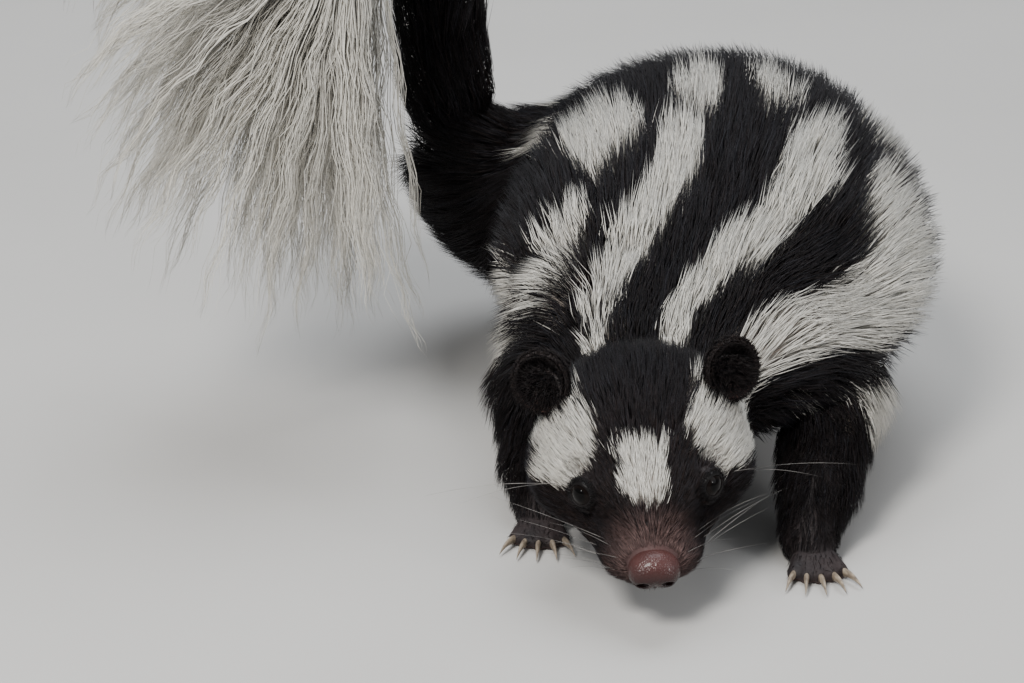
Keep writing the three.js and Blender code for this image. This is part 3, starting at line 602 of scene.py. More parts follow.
def spine_place(p):
    """Distance along the spine (mm) and angle round it from the top (degrees, + towards the animal's left)."""
    arcs, angles, tangents = np.empty(len(p)), np.empty(len(p)), np.empty((len(p), 3))
    for start in range(0, len(p), 20000):
        part = slice(start, start + 20000)
        o = p[part][:, None, :] - fine_spine[None, :, :3]
        ahead = np.einsum("nki,ki->nk", o, fine_along)
        cost = np.where((ahead[:, :-1] > 0) & (ahead[:, 1:] <= 0), norm(o)[:, :-1], 1e9)
        k = cost.argmin(1)
        rows = np.arange(len(k))
        found = cost[rows, k] < 1e8
        before = ahead[:, 0] <= 0
        k = np.where(found, k, np.where(before, 0, len(fine_spine) - 2))
        t = ahead[rows, k] / (ahead[rows, k] - ahead[rows, k + 1] + 1e-9)
        t = np.where(found, share(t), np.where(before, 0.0, 1.0))[:, None]

        def at(values):
            return values[k] * (1 - t) + values[k + 1] * t

        off = p[part] - at(fine_spine[:, :3])
        side, rise = (off * at(fine_left)).sum(1), (off * at(fine_up)).sum(1)
        arcs[part] = at(fine_arc[:, None])[:, 0]
        angles[part] = np.degrees(np.arctan2(side, rise))
        tangents[part] = at(fine_along)
    return arcs, angles, tangents


def head_place(q):
    """Distance back along the skull (mm) and signed angle round it from the top (degrees)."""
    return q[:, 1], np.degrees(np.arctan2(q[:, 0], q[:, 2] + 4))


# Outlines of the white markings: (mm along, degrees round). The right side is the image's left.
BODY_MARKS = {
    "inner_right": [(17, -63), (13, -62), (10.5, -57), (10, -49), (14, -46), (19, -44), (27.5, -39), (37, -33),
                    (42, -29), (47.7, -20), (55.7, -11), (61.9, -7), (69.3, -4), (76, -4), (82, -9), (83, -16),
                    (81.8, -23), (68.3, -24), (62.7, -29), (56.6, -36), (50.7, -41), (48.6, -49), (42, -51),
                    (36, -53), (31, -51), (24.5, -54), (19, -57)],
    "inner_left": [(22, -3), (14, 4), (11.5, 15), (13, 26), (19, 28), (25.4, 27), (29.8, 29), (34.7, 33), (39.8, 37),
                   (42, 45), (47, 49), (61, 50), (68, 54), (76, 50), (83, 49), (90.4, 49), (90, 44), (85, 34),
                   (80.5, 30), (74, 31), (66, 32), (59, 30), (54, 26), (48.4, 21), (43.3, 15), (38.4, 8), (34, 3),
                   (28, 1)],
    "outer_left": [(17.4, 63), (26.7, 57), (30.2, 58), (33.6, 62), (37.3, 69), (43, 72), (50.6, 72), (59.4, 70),
                   (64, 68), (67.8, 64), (71, 61), (78, 60), (83, 62), (84, 70), (80, 84), (72, 96), (60, 100),
                   (48, 96), (38, 91), (29, 83), (24, 81), (17.7, 80), (9.8, 86), (5, 98), (4, 84), (8.5, 68)],
    "outer_right": [(57.6, -50), (51, -56), (47, -61), (39.7, -64), (33.8, -64), (27, -67), (23, -69), (21, -73),
                    (23, -78), (31, -78), (41, -77), (49.4, -73), (55.4, -66), (59.6, -57)],
    "flank_right": [(66.8, -88), (57.6, -85), (50.5, -86), (39.5, -87), (29.4, -88), (23, -90), (20, -94),
                    (22, -102), (28, -106), (41, -105), (52, -103), (63, -98)],
    "flank_left": [(26, 112), (34, 104), (48, 108), (64, 108), (78, 104), (84, 108), (78, 122), (60, 124), (40, 122)],
    "rear_spot_right": [(112, -58), (114, -49), (105, -43), (89, -35), (81, -29), (77, -33), (74, -40), (69, -45),
                        (69, -52), (78, -58), (93, -63)],
    "rear_middle": [(99.4, -21), (106, -14), (109, -5), (104, 0), (92, 1), (83, -1), (85, -8), (90, -18)],
    "rear_left": [(106, 12), (105, 19), (101, 26), (98, 34), (93.5, 35), (89.6, 28), (92, 20), (96, 13)],
    "band_left": [(92, 62), (102, 58), (112, 66), (116, 84), (112, 104), (102, 116), (92, 108), (94, 86)],
    "band_right": [(118, -72), (128, -70), (134, -84), (132, -104), (122, -112), (116, -96)],
    "rump_right": [(148, -60), (150, -36), (160, -8), (178, -6), (178, -58)],
    "rump_left": [(140, 34), (150, 26), (162, 36), (164, 62), (152, 76), (140, 60)],
}
HEAD_MARKS = {
    "spot": [(26.2, -21), (27.6, -13), (27.4, -2), (26.6, 7), (27.2, 16), (23.2, 14), (20, 14.5), (17.4, 16),
             (14.8, 14), (13.0, 9), (12.4, -2), (13.0, -11), (14.6, -18), (16.2, -21), (18.9, -21), (22, -19),
             (24.4, -21)],
    "cheek_left": [(50, 41), (44.6, 39), (39.8, 42), (38.1, 50), (40.4, 62), (44.4, 74), (60, 74), (66, 84), (62, 104),
                   (48, 106), (46, 96), (42.9, 91), (36, 86), (30.1, 80), (25.8, 69), (23.1, 65), (24.4, 58),
                   (25.3, 50), (27.3, 39), (27.9, 32), (31.2, 28), (34.2, 29), (40, 33), (46.9, 36)],
    "cheek_right": [(47, -36), (40.8, -44), (39.8, -48), (38.6, -57), (41, -68), (46, -76), (58, -84), (62, -100),
                    (52, -102), (44, -90), (38.8, -80), (35, -72), (32, -78), (31.5, -83), (26.3, -73), (23.9, -67),
                    (21.5, -64), (22.6, -56), (24.1, -48), (25.6, -41), (27.5, -33), (31.2, -29), (35.2, -31),
                    (38.5, -37)],
}
BLACK_TAIL_FROM_Z = 48
# Size of a degree round the body and round the head, for the distance to an outline's edge
BODY_DEGREE_MM = 0.7
HEAD_DEGREE_MM = 0.33


def inside_by(along, around, outline, degree):
    """How deep (mm) each point lies inside an outline; negative outside."""
    p = np.stack([along, around * degree], -1)
    corners = np.array(outline, float) * [1, degree]
    best, crossings = np.full(len(p), 1e9), np.zeros(len(p), int)
    for a, b in zip(corners, np.roll(corners, -1, axis=0)):
        ab = b - a
        t = share(((p - a) @ ab) / (ab @ ab))
        best = np.minimum(best, norm(p - a - t[:, None] * ab))
        spans = (a[1] > p[:, 1]) != (b[1] > p[:, 1])
        crossings += spans & (p[:, 0] < a[0] + ab[0] * (p[:, 1] - a[1]) / (ab[1] if ab[1] else 1e-9))
    return np.where(crossings % 2 == 1, best, -best)


def whiteness(p):
    """How deep (mm) a point of the coat lies inside a white marking."""
    along, around, _ = spine_place(p)
    deep = np.full(len(p), -9.0)
    for outline in BODY_MARKS.values():
        deep = np.maximum(deep, inside_by(along, around, outline, BODY_DEGREE_MM))
    q = into_head(p)
    y, angle = head_place(q)
    on_head = (head_field(p, 0) < 2.5) & (y < 66)
    body_deep = np.where((y < 40) & on_head, -9.0, deep)
    head_deep = np.full(len(p), -9.0)
    for outline in HEAD_MARKS.values():
        head_deep = np.maximum(head_deep, inside_by(y, angle, outline, HEAD_DEGREE_MM))
    deep = np.where(on_head, np.maximum(body_deep, head_deep), deep)
    near_tail = (tail_field(p, 0) < 2.5) & (p[:, 2] > BLACK_TAIL_FROM_Z)
    return np.where(near_tail, -9.0, deep)


# ---- Skin

FLESH = ["head", "neck", "chest", "loin", "rump", "tail_1", "tail_2", "tail_3"] + [
    f"{leg}_{part}" for leg in LEGS for part in ("upper", "lower", "paw")]
SKIN_AXES = (
    graded((-48, -6, 2.4), (-6, 82, 0.75), (82, 113, 2.4)),
    graded((-6, 62, 0.75), (62, 130, 2.4), (130, 214, 1.0)),
    graded((-1.5, 36, 0.75), (36, 162, 2.4)),
)
BLACK = np.array([0.0072, 0.0058, 0.0066])
WHITE = np.array([0.78, 0.755, 0.70])
PINK_SKIN = np.array([0.09, 0.043, 0.04])

skin_points, skin_quads = nets(skin_field, SKIN_AXES)
skin_white = share(whiteness(skin_points) / 1.5 + 0.5)[:, None]
skin_colour = np.array([0.016, 0.013, 0.014]) * (1 - skin_white) + np.array([0.42, 0.36, 0.31]) * skin_white
head_q = into_head(skin_points)
bare_nose = share(1 - norm((head_q - [0, 3.0, 1.0]) / [7.5, 7.5, 6.5]))[:, None] ** 0.5
skin_colour = skin_colour * (1 - bare_nose) + PINK_SKIN * bare_nose
sole = share((1.2 - skin_points[:, 2]) / 0.8)[:, None]
skin_colour = skin_colour * (1 - sole) + np.array([0.10, 0.06, 0.055]) * sole
skin = new_mesh("skin", skin_points, skin_quads, skin_colour)
finished(skin, skin_material(), "black_fur", FLESH)


def halved(quads):
    """Each four-sided face as two triangles."""
    return np.concatenate([quads[:, [0, 1, 2]], quads[:, [0, 2, 3]]])


def normals_of(points, quads):
    diagonal_a = points[quads[:, 2]] - points[quads[:, 0]]
    diagonal_b = points[quads[:, 3]] - points[quads[:, 1]]
    face = np.cross(diagonal_a, diagonal_b)
    out = np.zeros_like(points)
    for k in range(4):
        np.add.at(out, quads[:, k], face)
    return unit(out)


skin_normals = normals_of(skin_points, skin_quads)

# ---- Tufts: closed three-sided blades along short paths


MOST_TRIANGLES = 190000
PATCH_HALF = 0.0013


def blades(paths, widths, flats, colours, patches, thick=0.45):
    """paths (n, k, 3), widths (n,), flats (n, 3) the way each blade faces, colours (n, k, 3), patches (n, 2).
    Returns vertices, triangles, colours and map places."""
    n, k, _ = paths.shape
    along = unit(np.gradient(paths, axis=1))
    across = unit(np.cross(along, flats[:, None, :]))
    facing = np.cross(across, along)
    t = np.linspace(0, 1, k)
    profile = np.minimum(1.0, 0.62 + 1.5 * t) * (1 - 0.8 * t**2)
    size = widths[:, None] * profile[None, :]
    rings = []
    for u, v in ((-0.5, -0.2), (0.5, -0.2), (0.0, 0.5)):
        rings.append(paths + across * (u * size)[..., None] + facing * (v * thick * 2 * size)[..., None])
    ring = np.stack(rings, 2)[:, :-1]
    body = ring.reshape(n, (k - 1) * 3, 3)
    points = np.concatenate([body, paths[:, -1:]], 1)
    colour = np.concatenate([np.repeat(colours[:, :-1], 3, axis=1), colours[:, -1:]], 1)
    places = np.stack([np.tile([-1.0, 1.0, 0.0], k - 1), np.repeat(t[:-1], 3) * 2 - 1], -1) * PATCH_HALF
    places = np.concatenate([places, [[0.0, PATCH_HALF]]])
    uv = patches[:, None, :] + places[None]
    tris = [[0, 2, 1]]
    for level in range(k - 2):
        for side in range(3):
            a, b = level * 3 + side, level * 3 + (side + 1) % 3
            tris += [[a, b, a + 3], [b, b + 3, a + 3]]
    last = (k - 2) * 3
    tris += [[last + side, last + (side + 1) % 3, last + 3] for side in range(3)]
    per = (k - 1) * 3 + 1
    faces = (np.arange(n)[:, None, None] * per + np.array(tris)[None]).reshape(-1, 3)
    return points.reshape(-1, 3), faces, colour.reshape(-1, 3), uv.reshape(-1, 2)


def split_pieces(name, made, material, slot, replaces=()):
    """Cuts a list of blades into pieces below the limit of triangles and finishes each."""
    total, steps = made[0].shape[:2]
    count = int(np.ceil(total / (MOST_TRIANGLES // (6 * steps - 8))))
    for i in range(count):
        part = slice(i * total // count, (i + 1) * total // count)
        points, faces, colour, uv = blades(*(values[part] for values in made))
        piece_name = name if count == 1 else f"{name}_{i + 1}"
        piece = new_mesh(piece_name, points, faces, colour, uv)
        finished(piece, material, slot, replaces if i == 0 else ())


def sow(points, tris, normals, density):
    """Roots on a surface; density gives roots per square millimetre at points."""
    corner = points[tris]
    area = norm(np.cross(corner[:, 1] - corner[:, 0], corner[:, 2] - corner[:, 0])) / 2
    wanted = area * density(corner.mean(1))
    count = np.floor(wanted + rng.random(len(wanted))).astype(int)
    face = np.repeat(np.arange(len(tris)), count)
    a, b = rng.random(len(face)), rng.random(len(face))
    over = a + b > 1
    a[over], b[over] = 1 - a[over], 1 - b[over]
    weight = np.stack([1 - a - b, a, b], -1)
    root = (corner[face] * weight[..., None]).sum(1)
    return root, unit((normals[tris[face]] * weight[..., None]).sum(1))


def nearest_of(points, leaders):
    tree = kdtree.KDTree(len(leaders))
    for i, p in enumerate(leaders):
        tree.insert(p, i)
    tree.balance()
    return np.array([tree.find(p)[1] for p in points])


def tangent(direction, normal):
    return unit(direction - normal * (direction * normal).sum(1)[:, None])


LOWEST_HAIR_Z, TOP_Z, RIGHT_X, SOFT_STOP = 0.25, 141.0, -99.5, 4.5
TUFTS_PER_CLUMP = 14
LEAST_COAT, DEEPEST_COAT = 0.7, 14


def coat_density(p):
    q = into_head(p)
    on_head = share(1 - head_field(p, 1) / 4) * (q[:, 1] < 52)
    face = on_head * share((34 - q[:, 1]) / 12)
    limb = np.full(len(p), 1e6)
    for leg in LEGS.values():
        limb = np.minimum(limb, limb_field(p, leg[1:], 1, 2))
    low = share(1 - limb / 4)
    under = share((30 - p[:, 2]) / 12) * (1 - low) * (1 - on_head)
    density = 1.84 + 2.0 * on_head + 3.9 * face + 1.5 * low - 1.3 * under
    for side in SIDES.values():
        centre, across, upward, outward = eye_frame(side)
        o = q - centre
        slit = np.sqrt((o @ across / SLIT_WIDE) ** 2 + (o @ upward / SLIT_HIGH) ** 2)
        density = np.where((slit < SOCKET_RADIUS) & (o @ outward > 0), 0, density)
    # Short hair crowds round the bare pad of the nose
    pad = norm((q - [0, 2.5, 0.3]) / [5.4, 4.7, 4.05])
    density = density + 5.0 * share((1.7 - pad) / 0.4)
    density = np.where(pad < 1, 0, density)
    return np.where(p[:, 2] < 1.0, 0, density)


def kept_in(paths):
    """Hair above the floor and, with a soft stop, inside the solids' top and right side."""
    def excess(past):
        past = np.maximum(past, 0)
        return past - SOFT_STOP * (1 - np.exp(-past / SOFT_STOP))

    out = paths.copy()
    out[..., 2] = np.maximum(out[..., 2], LOWEST_HAIR_Z)
    out[..., 2] -= excess(out[..., 2] - TOP_Z)
    out[..., 0] += excess(RIGHT_X - out[..., 0])
    return out


def coat_paths(root, normal):
    """The lay, height and reach of each tuft, and the clump it leans towards."""
    n = len(root)
    q = into_head(root)
    along, around, spine_way = spine_place(root)
    trunk_near = trunk_field(root, 1)
    head_near = head_field(root, 1)
    tail_near = tail_field(root, 1)
    depth = np.clip(-body_field(root, 0), LEAST_COAT, DEEPEST_COAT)

    # The way the hair of each part runs, weighted by how near that part is
    weights = [np.exp(-np.clip(trunk_near, 0, 50) / 4)]
    side_drop = np.abs(np.sin(np.radians(around)))[:, None]
    ways = [spine_way + np.array([0, 0, -0.45]) * side_drop]
    skull = q - [0, -6, -1]
    skull_way = unit(np.stack([q[:, 0] * 0.55, skull[:, 1] * 0.6 + 8, np.where(q[:, 2] > 4, 0, -2.0)], -1))
    ways.append(skull_way @ HEAD_TURN.T)
    weights.append(np.exp(-np.clip(head_near, 0, 50) / 4) * 1.6)
    step = np.argmin(norm(root[:, None, :] - tail[None, :-1, :3]), 1)
    ways.append(unit(tail[step + 1, :3] - tail[step, :3]))
    weights.append(np.exp(-np.clip(tail_near, 0, 50) / 4) * (1 + 2 * share((root[:, 2] - 55) / 15)))
    for leg in LEGS.values():
        for a, b in zip(leg, leg[1:]):
            near = taper(root, a[:3], b[:3], a[3] - a[4], b[3] - b[4])
            ways.append(np.broadcast_to(unit(np.array(b[:3], float) - a[:3]), (n, 3)))
            weights.append(np.exp(-np.clip(near, 0, 50) / 3))
    way = sum(w[:, None] * unit(v) for w, v in zip(weights, ways))

    # Neighbours swing together with the leader of their clump
    way = tangent(way + rng.normal(0, 0.06, (n, 3)), normal)
    leaders = rng.choice(n, n // TUFTS_PER_CLUMP, replace=False)
    group = nearest_of(root, root[leaders])
    swing = rng.normal(0, 0.10, len(leaders))[group] + rng.normal(0, 0.08, n)
    way = way * np.cos(swing)[:, None] + np.cross(normal, way) * np.sin(swing)[:, None]

    # The coat of the right shoulder is bunched by the turn of the body; the nape's hair is longer
    bunched = share((-around - 35) / 30) * share(1 - np.abs(along - 45) / 70) * (trunk_near < 3)
    stand = (1.0 + rng.normal(0, 0.05, len(leaders))[group]) * rng.uniform(0.78, 1.0, n)
    height = depth * np.minimum(stand, 1.02)
    reach = (1.9 + depth * 1.12) * rng.uniform(0.75, 1.15, n) * (1 - 0.25 * bunched)
    tail_share = weights[2] / sum(weights)
    reach = reach * (1 + 0.9 * tail_share)
    nape = share((q[:, 1] - 33) / 12) * share(1 - head_near / 3) * (q[:, 1] < 62) * (q[:, 2] > 2)
    reach = reach + 3.4 * nape * rng.uniform(0.2, 1, n)
    height = height * (1 + 0.12 * nape)
    # Each tuft rises fast, then lies over along its way, and its tip is drawn to its clump
    rise = np.array([0.0, 0.76, 1.0])
    run = np.array([0.0, 0.34, 1.0])
    paths = (root[:, None] - normal[:, None] * 0.3 + normal[:, None] * (height[:, None] * rise)[..., None]
             + way[:, None] * (reach[:, None] * run)[..., None])
    pull = (0.22 + 0.22 * bunched) * share(depth / 5)
    tip_of = paths[leaders][group]
    shift = (tip_of[:, -1] - paths[:, -1]) * pull[:, None]
    far = norm(shift)
    shift = shift * np.minimum(1, 4.0 / np.maximum(far, 1e-6))[:, None]
    paths[:, 1] += shift * 0.25
    paths[:, 2] += shift
    paths = kept_in(paths)
    return paths, depth, group, along, around, tail_share


def coat_colours(paths, depth, group):
    """Black or white along each tuft, by where its outer half lies."""
    middle = paths[:, 0] * 0.3 + paths[:, 2] * 0.7
    n = len(paths)
    deep = whiteness(middle) + rng.normal(0, 0.6, n) + rng.normal(0, 0.5, group.max() + 1)[group]
    white = deep > 0
    q = into_head(paths[:, 0])
    tone = np.exp(rng.normal(0, 0.35, n))[:, None, None]
    black = BLACK * np.array([0.8, 0.9, 1.25])[None, :, None] * tone
    brown = np.clip(rng.normal(0.10, 0.14, n), 0, 0.5)[:, None, None]
    face = share((40 - q[:, 1]) / 20) * (norm(q - [0, 18, 0]) < 34)
    brown = np.clip(brown + 0.45 * (face * rng.uniform(0, 1, n))[:, None, None], 0, 0.8)
    black = black * (1 - brown) + np.array([0.030, 0.0165, 0.0125]) * brown
    # One black tuft in ten gets a bluish-grey tip: a painted glint of sheen on the hair.
    painted_glint = (rng.random(n) < 0.10)[:, None, None] * np.array([0.0, 0.5, 1.0])[None, :, None]
    black = black + np.array([0.020, 0.022, 0.028]) * painted_glint
    shade = rng.uniform(0.80, 1.06, n)[:, None, None]
    # The white tufts are painted darker towards the root: painted shade in the gaps between the hairs.
    pale = WHITE * np.array([0.58, 0.92, 1.0])[None, :, None] * shade
    colours = np.where(white[:, None, None], pale, black)
    muzzle = share(1.75 - norm((q - [0, 4.0, 2.2]) / [6.8, 5.8, 5.4])) * rng.uniform(0.3, 1.0, n)
    pinkish = np.array([0.21, 0.135, 0.125])
    return colours * (1 - muzzle)[:, None, None] + pinkish * muzzle[:, None, None]


def unwrap(along, around, root, tail_share):
    """Places on a plan of the skin: head, trunk and tail down one island, the legs beside it."""
    q = into_head(root)
    y, angle = head_place(q)
    on_head = head_field(root, 1) < 2
    on_tail = tail_share > 0.5
    tail_along = np.argmin(norm(root[:, None, :] - tail[None, :, :3]), 1) / len(tail)
    row = np.where(on_head, np.clip(y, 0, 60) / 60 * 0.24, 0.26 + np.clip(along, 0, 200) / 200 * 0.48)
    row = np.where(on_tail, 0.76 + 0.22 * tail_along, row)
    column = np.where(on_head, angle, around) / 360 + 0.5
    tail_angle = np.arctan2(root[:, 1] - 165, root[:, 0] + 18) / (2 * pi) + 0.5
    column = np.where(on_tail, tail_angle, column)
    u, v = 0.005 + column * 0.70, 0.005 + row
    for i, leg in enumerate(LEGS.values()):
        near = limb_field(root, leg[1:], 1, 2) < 1.5
        axis = np.array(leg[1][:2])
        leg_angle = np.arctan2(root[:, 1] - axis[1], root[:, 0] - axis[0]) / (2 * pi) + 0.5
        u = np.where(near, 0.73 + 0.26 * leg_angle, u)
        v = np.where(near, 0.02 + 0.24 * i + 0.22 * share(root[:, 2] / 40), v)
    jitter = rng.uniform(-0.001, 0.001, (len(root), 2))
    return np.clip(np.stack([u, v], -1) + jitter, 0.002, 0.998)


root, normal = sow(skin_points, halved(skin_quads), skin_normals, coat_density)
paths, depth, group, along, around, tail_share = coat_paths(root, normal)
colours = coat_colours(paths, depth, group)
widths = np.clip(0.14 + 0.013 * depth, 0.15, 0.31) * rng.uniform(0.7, 1.25, len(root))
places = unwrap(along, around, root, tail_share)
order = np.argsort(root[:, 1] + 1000 * (tail_share > 0.5), kind="stable")
coat = [a[order] for a in (paths, widths, normal, colours, places)]
coat_finish = coat_material("coat_fur", 0.46, 0.02, 0.14)
split_pieces("coat", coat, coat_finish, "black_fur")

# ---- The plume: fine wavy hairs in bundles along the fan of locks

PLUME_SEED = 4788
PLUME_LOCKS, PLUME_LAYERS = 30, 5
PLUME_FAN = (-0.05, 1.5)
PLUME_LENGTH, PLUME_LENGTH_LOSS = 116.0, 33.0
PLUME_FORWARD = (-0.35, 0.6)
PLUME_DROOP = 0.2
PLUME_WIDTH = (10.0, 13.0)
PLUME_CUT = 13
CORE_SHARE = 0.7
WISPS_PER_LOCK, HAIRS_PER_WISP = 8, 15
PLUME_POINTS = 18
WAVE_MM, CRIMP_MM = 21.0, 11.0
lcg_state = [PLUME_SEED]


def between(low, high):
    """The even random draws that the solids' locks are laid out with."""
    lcg_state[0] = lcg_state[0] * 16807 % 2147483647
    return low + (high - low) * lcg_state[0] / 2147483647


def tail_point(t):
    i = min(int(t), len(tail) - 2)
    at = tail[i] + (tail[i + 1] - tail[i]) * (t - i)
    return at[:3], at[3], unit(tail[min(i + 2, len(tail) - 1), :3] - tail[max(i - 1, 0), :3])


def plume_locks():
    """The four control points, the facing and the width of each lock of the solids."""
    end = len(tail) - 1
    locks = []
    for i in range(PLUME_LOCKS):
        spread = (i // PLUME_LAYERS + 0.5 + between(-0.45, 0.45)) / (PLUME_LOCKS / PLUME_LAYERS)
        fan = PLUME_FAN[0] + (PLUME_FAN[1] - PLUME_FAN[0]) * spread
        layer = (i % PLUME_LAYERS + between(0.1, 0.9)) / PLUME_LAYERS
        at, radius, along = tail_point(end - (end - PLUME_CUT) * 0.95 * layer)
        forward = PLUME_FORWARD[0] + (PLUME_FORWARD[1] - PLUME_FORWARD[0]) * between(0, 1)
        aim = unit(np.array([-sin(fan), -forward, -cos(fan)]))
        length = (PLUME_LENGTH - PLUME_LENGTH_LOSS * max(fan, 0)) * between(0.84, 1)
        leave = unit(along + aim * 0.8)
        start = at + aim * radius * CORE_SHARE * 0.3
        droop = np.array([0, 0, -length * PLUME_DROOP * sin(max(fan, 0))])
        corners = [start, start + leave * length * 0.3, start + aim * length * 0.62 + leave * length * 0.12,
                   start + aim * length * 0.97 + droop]
        facing = unit(np.array([between(-0.5, 0.5), -1, between(-0.2, 0.8)]))
        locks.append((np.array(corners), facing, between(*PLUME_WIDTH)))
    return locks


def plume():
    """Wavy hairs in wisps; a wisp runs between its own lock of the solids and a neighbour of it."""
    locks = plume_locks()
    corners = np.array([lock[0] for lock in locks])
    wisps = PLUME_LOCKS * WISPS_PER_LOCK
    lock = np.repeat(np.arange(PLUME_LOCKS), WISPS_PER_LOCK)
    other = np.clip(lock + rng.integers(-PLUME_LAYERS, PLUME_LAYERS + 1, wisps), 0, PLUME_LOCKS - 1)
    mixed = (rng.random(wisps) ** 1.5 * 0.6)[:, None, None]
    corner = corners[lock] * (1 - mixed) + corners[other] * mixed
    facing = np.array([lock[1] for lock in locks])[lock]
    width = np.array([lock[2] for lock in locks])[lock]
    across = unit(np.cross(corner[:, 3] - corner[:, 0], facing))
    offset = (across * (rng.uniform(-0.6, 0.6, wisps) * width)[:, None]
              + facing * rng.normal(0, 1.8, wisps)[:, None])
    bend = across * rng.normal(0, 4.5, wisps)[:, None] + facing * rng.normal(0, 2.5, wisps)[:, None]
    phase, reach = rng.uniform(0, 2 * pi, wisps), rng.uniform(0.92, 1.22, wisps)
    wavelength = WAVE_MM * rng.uniform(0.8, 1.3, wisps)

    hair = np.repeat(np.arange(wisps), HAIRS_PER_WISP)
    n = len(hair)
    loose = rng.random(n) < 0.12
    u = np.linspace(0, 1, PLUME_POINTS)[None, :] * (reach[hair] * rng.uniform(0.84, 1.0, n))[:, None]
    w = u[..., None]
    c = corner[hair]
    line = (c[:, None, 0] * (1 - w) ** 3 + c[:, None, 1] * 3 * w * (1 - w) ** 2
            + c[:, None, 2] * 3 * w**2 * (1 - w) + c[:, None, 3] * w**3)
    length = norm(c[:, 3] - c[:, 0])[:, None] * u
    spread = 0.12 + 0.9 * np.sin(np.minimum(u * 1.9, pi / 2))
    line = line + offset[hair][:, None] * spread[..., None] + bend[hair][:, None] * w**2
    # The hairs of a wisp draw together towards its tip; the loose ones stay apart
    apart = (across[hair] * rng.normal(0, 1.5, n)[:, None] + facing[hair] * rng.normal(0, 1.2, n)[:, None]
             + rng.normal(0, 0.3, (n, 3)))
    gather = np.where(loose[:, None], 1.0 + 1.4 * u, 1 - 0.72 * u**1.5)
    line = line + apart[:, None] * (spread * gather)[..., None]
    turn_of = 2 * pi * length / wavelength[hair][:, None] + (phase[hair] + rng.normal(0, 0.5, n))[:, None]
    grow = np.minimum(1, u * 2.2)
    sway = across[hair] * rng.normal(0.95, 0.3, n)[:, None] + facing[hair] * rng.normal(0, 0.4, n)[:, None]
    line = line + sway[:, None] * (np.sin(turn_of) * grow)[..., None]
    crimp = 2 * pi * length / (CRIMP_MM * rng.uniform(0.85, 1.3, n))[:, None] + rng.uniform(0, 2 * pi, n)[:, None]
    line = line + rng.normal(0, 0.28, (n, 3))[:, None] * (np.sin(crimp) * grow)[..., None]
    shade = (rng.uniform(0.72, 1.0, wisps)[hair] * rng.uniform(0.8, 1.06, n))[:, None, None]
    tone = shade * np.linspace(0.78, 1.0, PLUME_POINTS)[None, :, None]
    colours = np.array([0.80, 0.77, 0.70]) * tone
    widths = rng.uniform(0.20, 0.36, n)
    row, column = np.divmod(lock[hair], PLUME_LAYERS)
    patch = np.stack([0.05 + 0.9 * (column + rng.random(n)) / PLUME_LAYERS,
                      0.05 + 0.9 * (row + rng.random(n)) * PLUME_LAYERS / PLUME_LOCKS], -1)
    return kept_in(line), widths, unit(rng.normal(0, 1, (n, 3))), colours, np.clip(patch, 0.003, 0.997)


plume_finish = coat_material("plume_fur", 0.5, 0.05, 0.25)
split_pieces("plume", plume(), plume_finish, "white_fur", ("tail_plume",))

# ---- Eyes, nose, ears, claws and whiskers


PUPIL, IRIS, OUTER_EYE = (0.001, 0.001, 0.001), (0.005, 0.0032, 0.0026), (0.012, 0.008, 0.007)
EYE_FRONT_POINT, EYE_BACK_POINT = (0.002, 0.002, 0.002), (0.05, 0.03, 0.025)


def head_piece(name, local_points, faces, colour, *finish):
    finished(new_mesh(name, out_of_head(local_points), faces, colour), *finish)


def closed_tube(rings, sides):
    """Triangles of rings of points between two end points."""
    faces = []
    for j in range(sides):
        k = (j + 1) % sides
        faces.append((0, 1 + k, 1 + j))
        for i in range(rings - 1):
            a, b = 1 + i * sides + j, 1 + i * sides + k
            faces += [(a, b, a + sides), (b, b + sides, a + sides)]
        last = 1 + (rings - 1) * sides
        faces.append((last + j, last + k, last + sides))
    return np.array(faces)


def eyeball(side):
    """A ball with the bulge of the cornea; the pupil is darker than the iris."""
    rings, sides, bulge_mm = 27, 40, 0.16
    centre, across, upward, outward = eye_frame(side)
    points, colours = [centre + outward * (EYE_RADIUS + bulge_mm)], [EYE_FRONT_POINT]
    for i in range(1, rings + 1):
        angle = pi * i / (rings + 1)
        bulge = bulge_mm * np.exp(-(angle / 0.55) ** 2)
        for j in range(sides):
            spin = 2 * pi * j / sides
            way = outward * cos(angle) + (across * cos(spin) + upward * sin(spin)) * sin(angle)
            points.append(centre + way * (EYE_RADIUS + bulge))
            colours.append(PUPIL if angle < 0.42 else IRIS if angle < 0.85 else OUTER_EYE)
    points.append(centre - outward * EYE_RADIUS)
    colours.append(EYE_BACK_POINT)
    return np.array(points), closed_tube(rings, sides)[:, ::-1], np.array(colours)


eye_finish = eye_material()
for name, side in SIDES.items():
    points, faces, colour = eyeball(side)
    head_piece(f"eyeball_{name}", points, faces, colour, eye_finish, "eye", (f"eye_{name}",))


# Profile of the lids: angle from the way the eye looks (degrees) and height over the ball (mm)
LID_PROFILE = [(37, -0.1), (37.3, 0.06), (38.5, 0.2), (41, 0.3), (45, 0.34), (51, 0.25), (58, -0.05), (70, -0.5),
               (62, -0.95), (46, -0.6)]


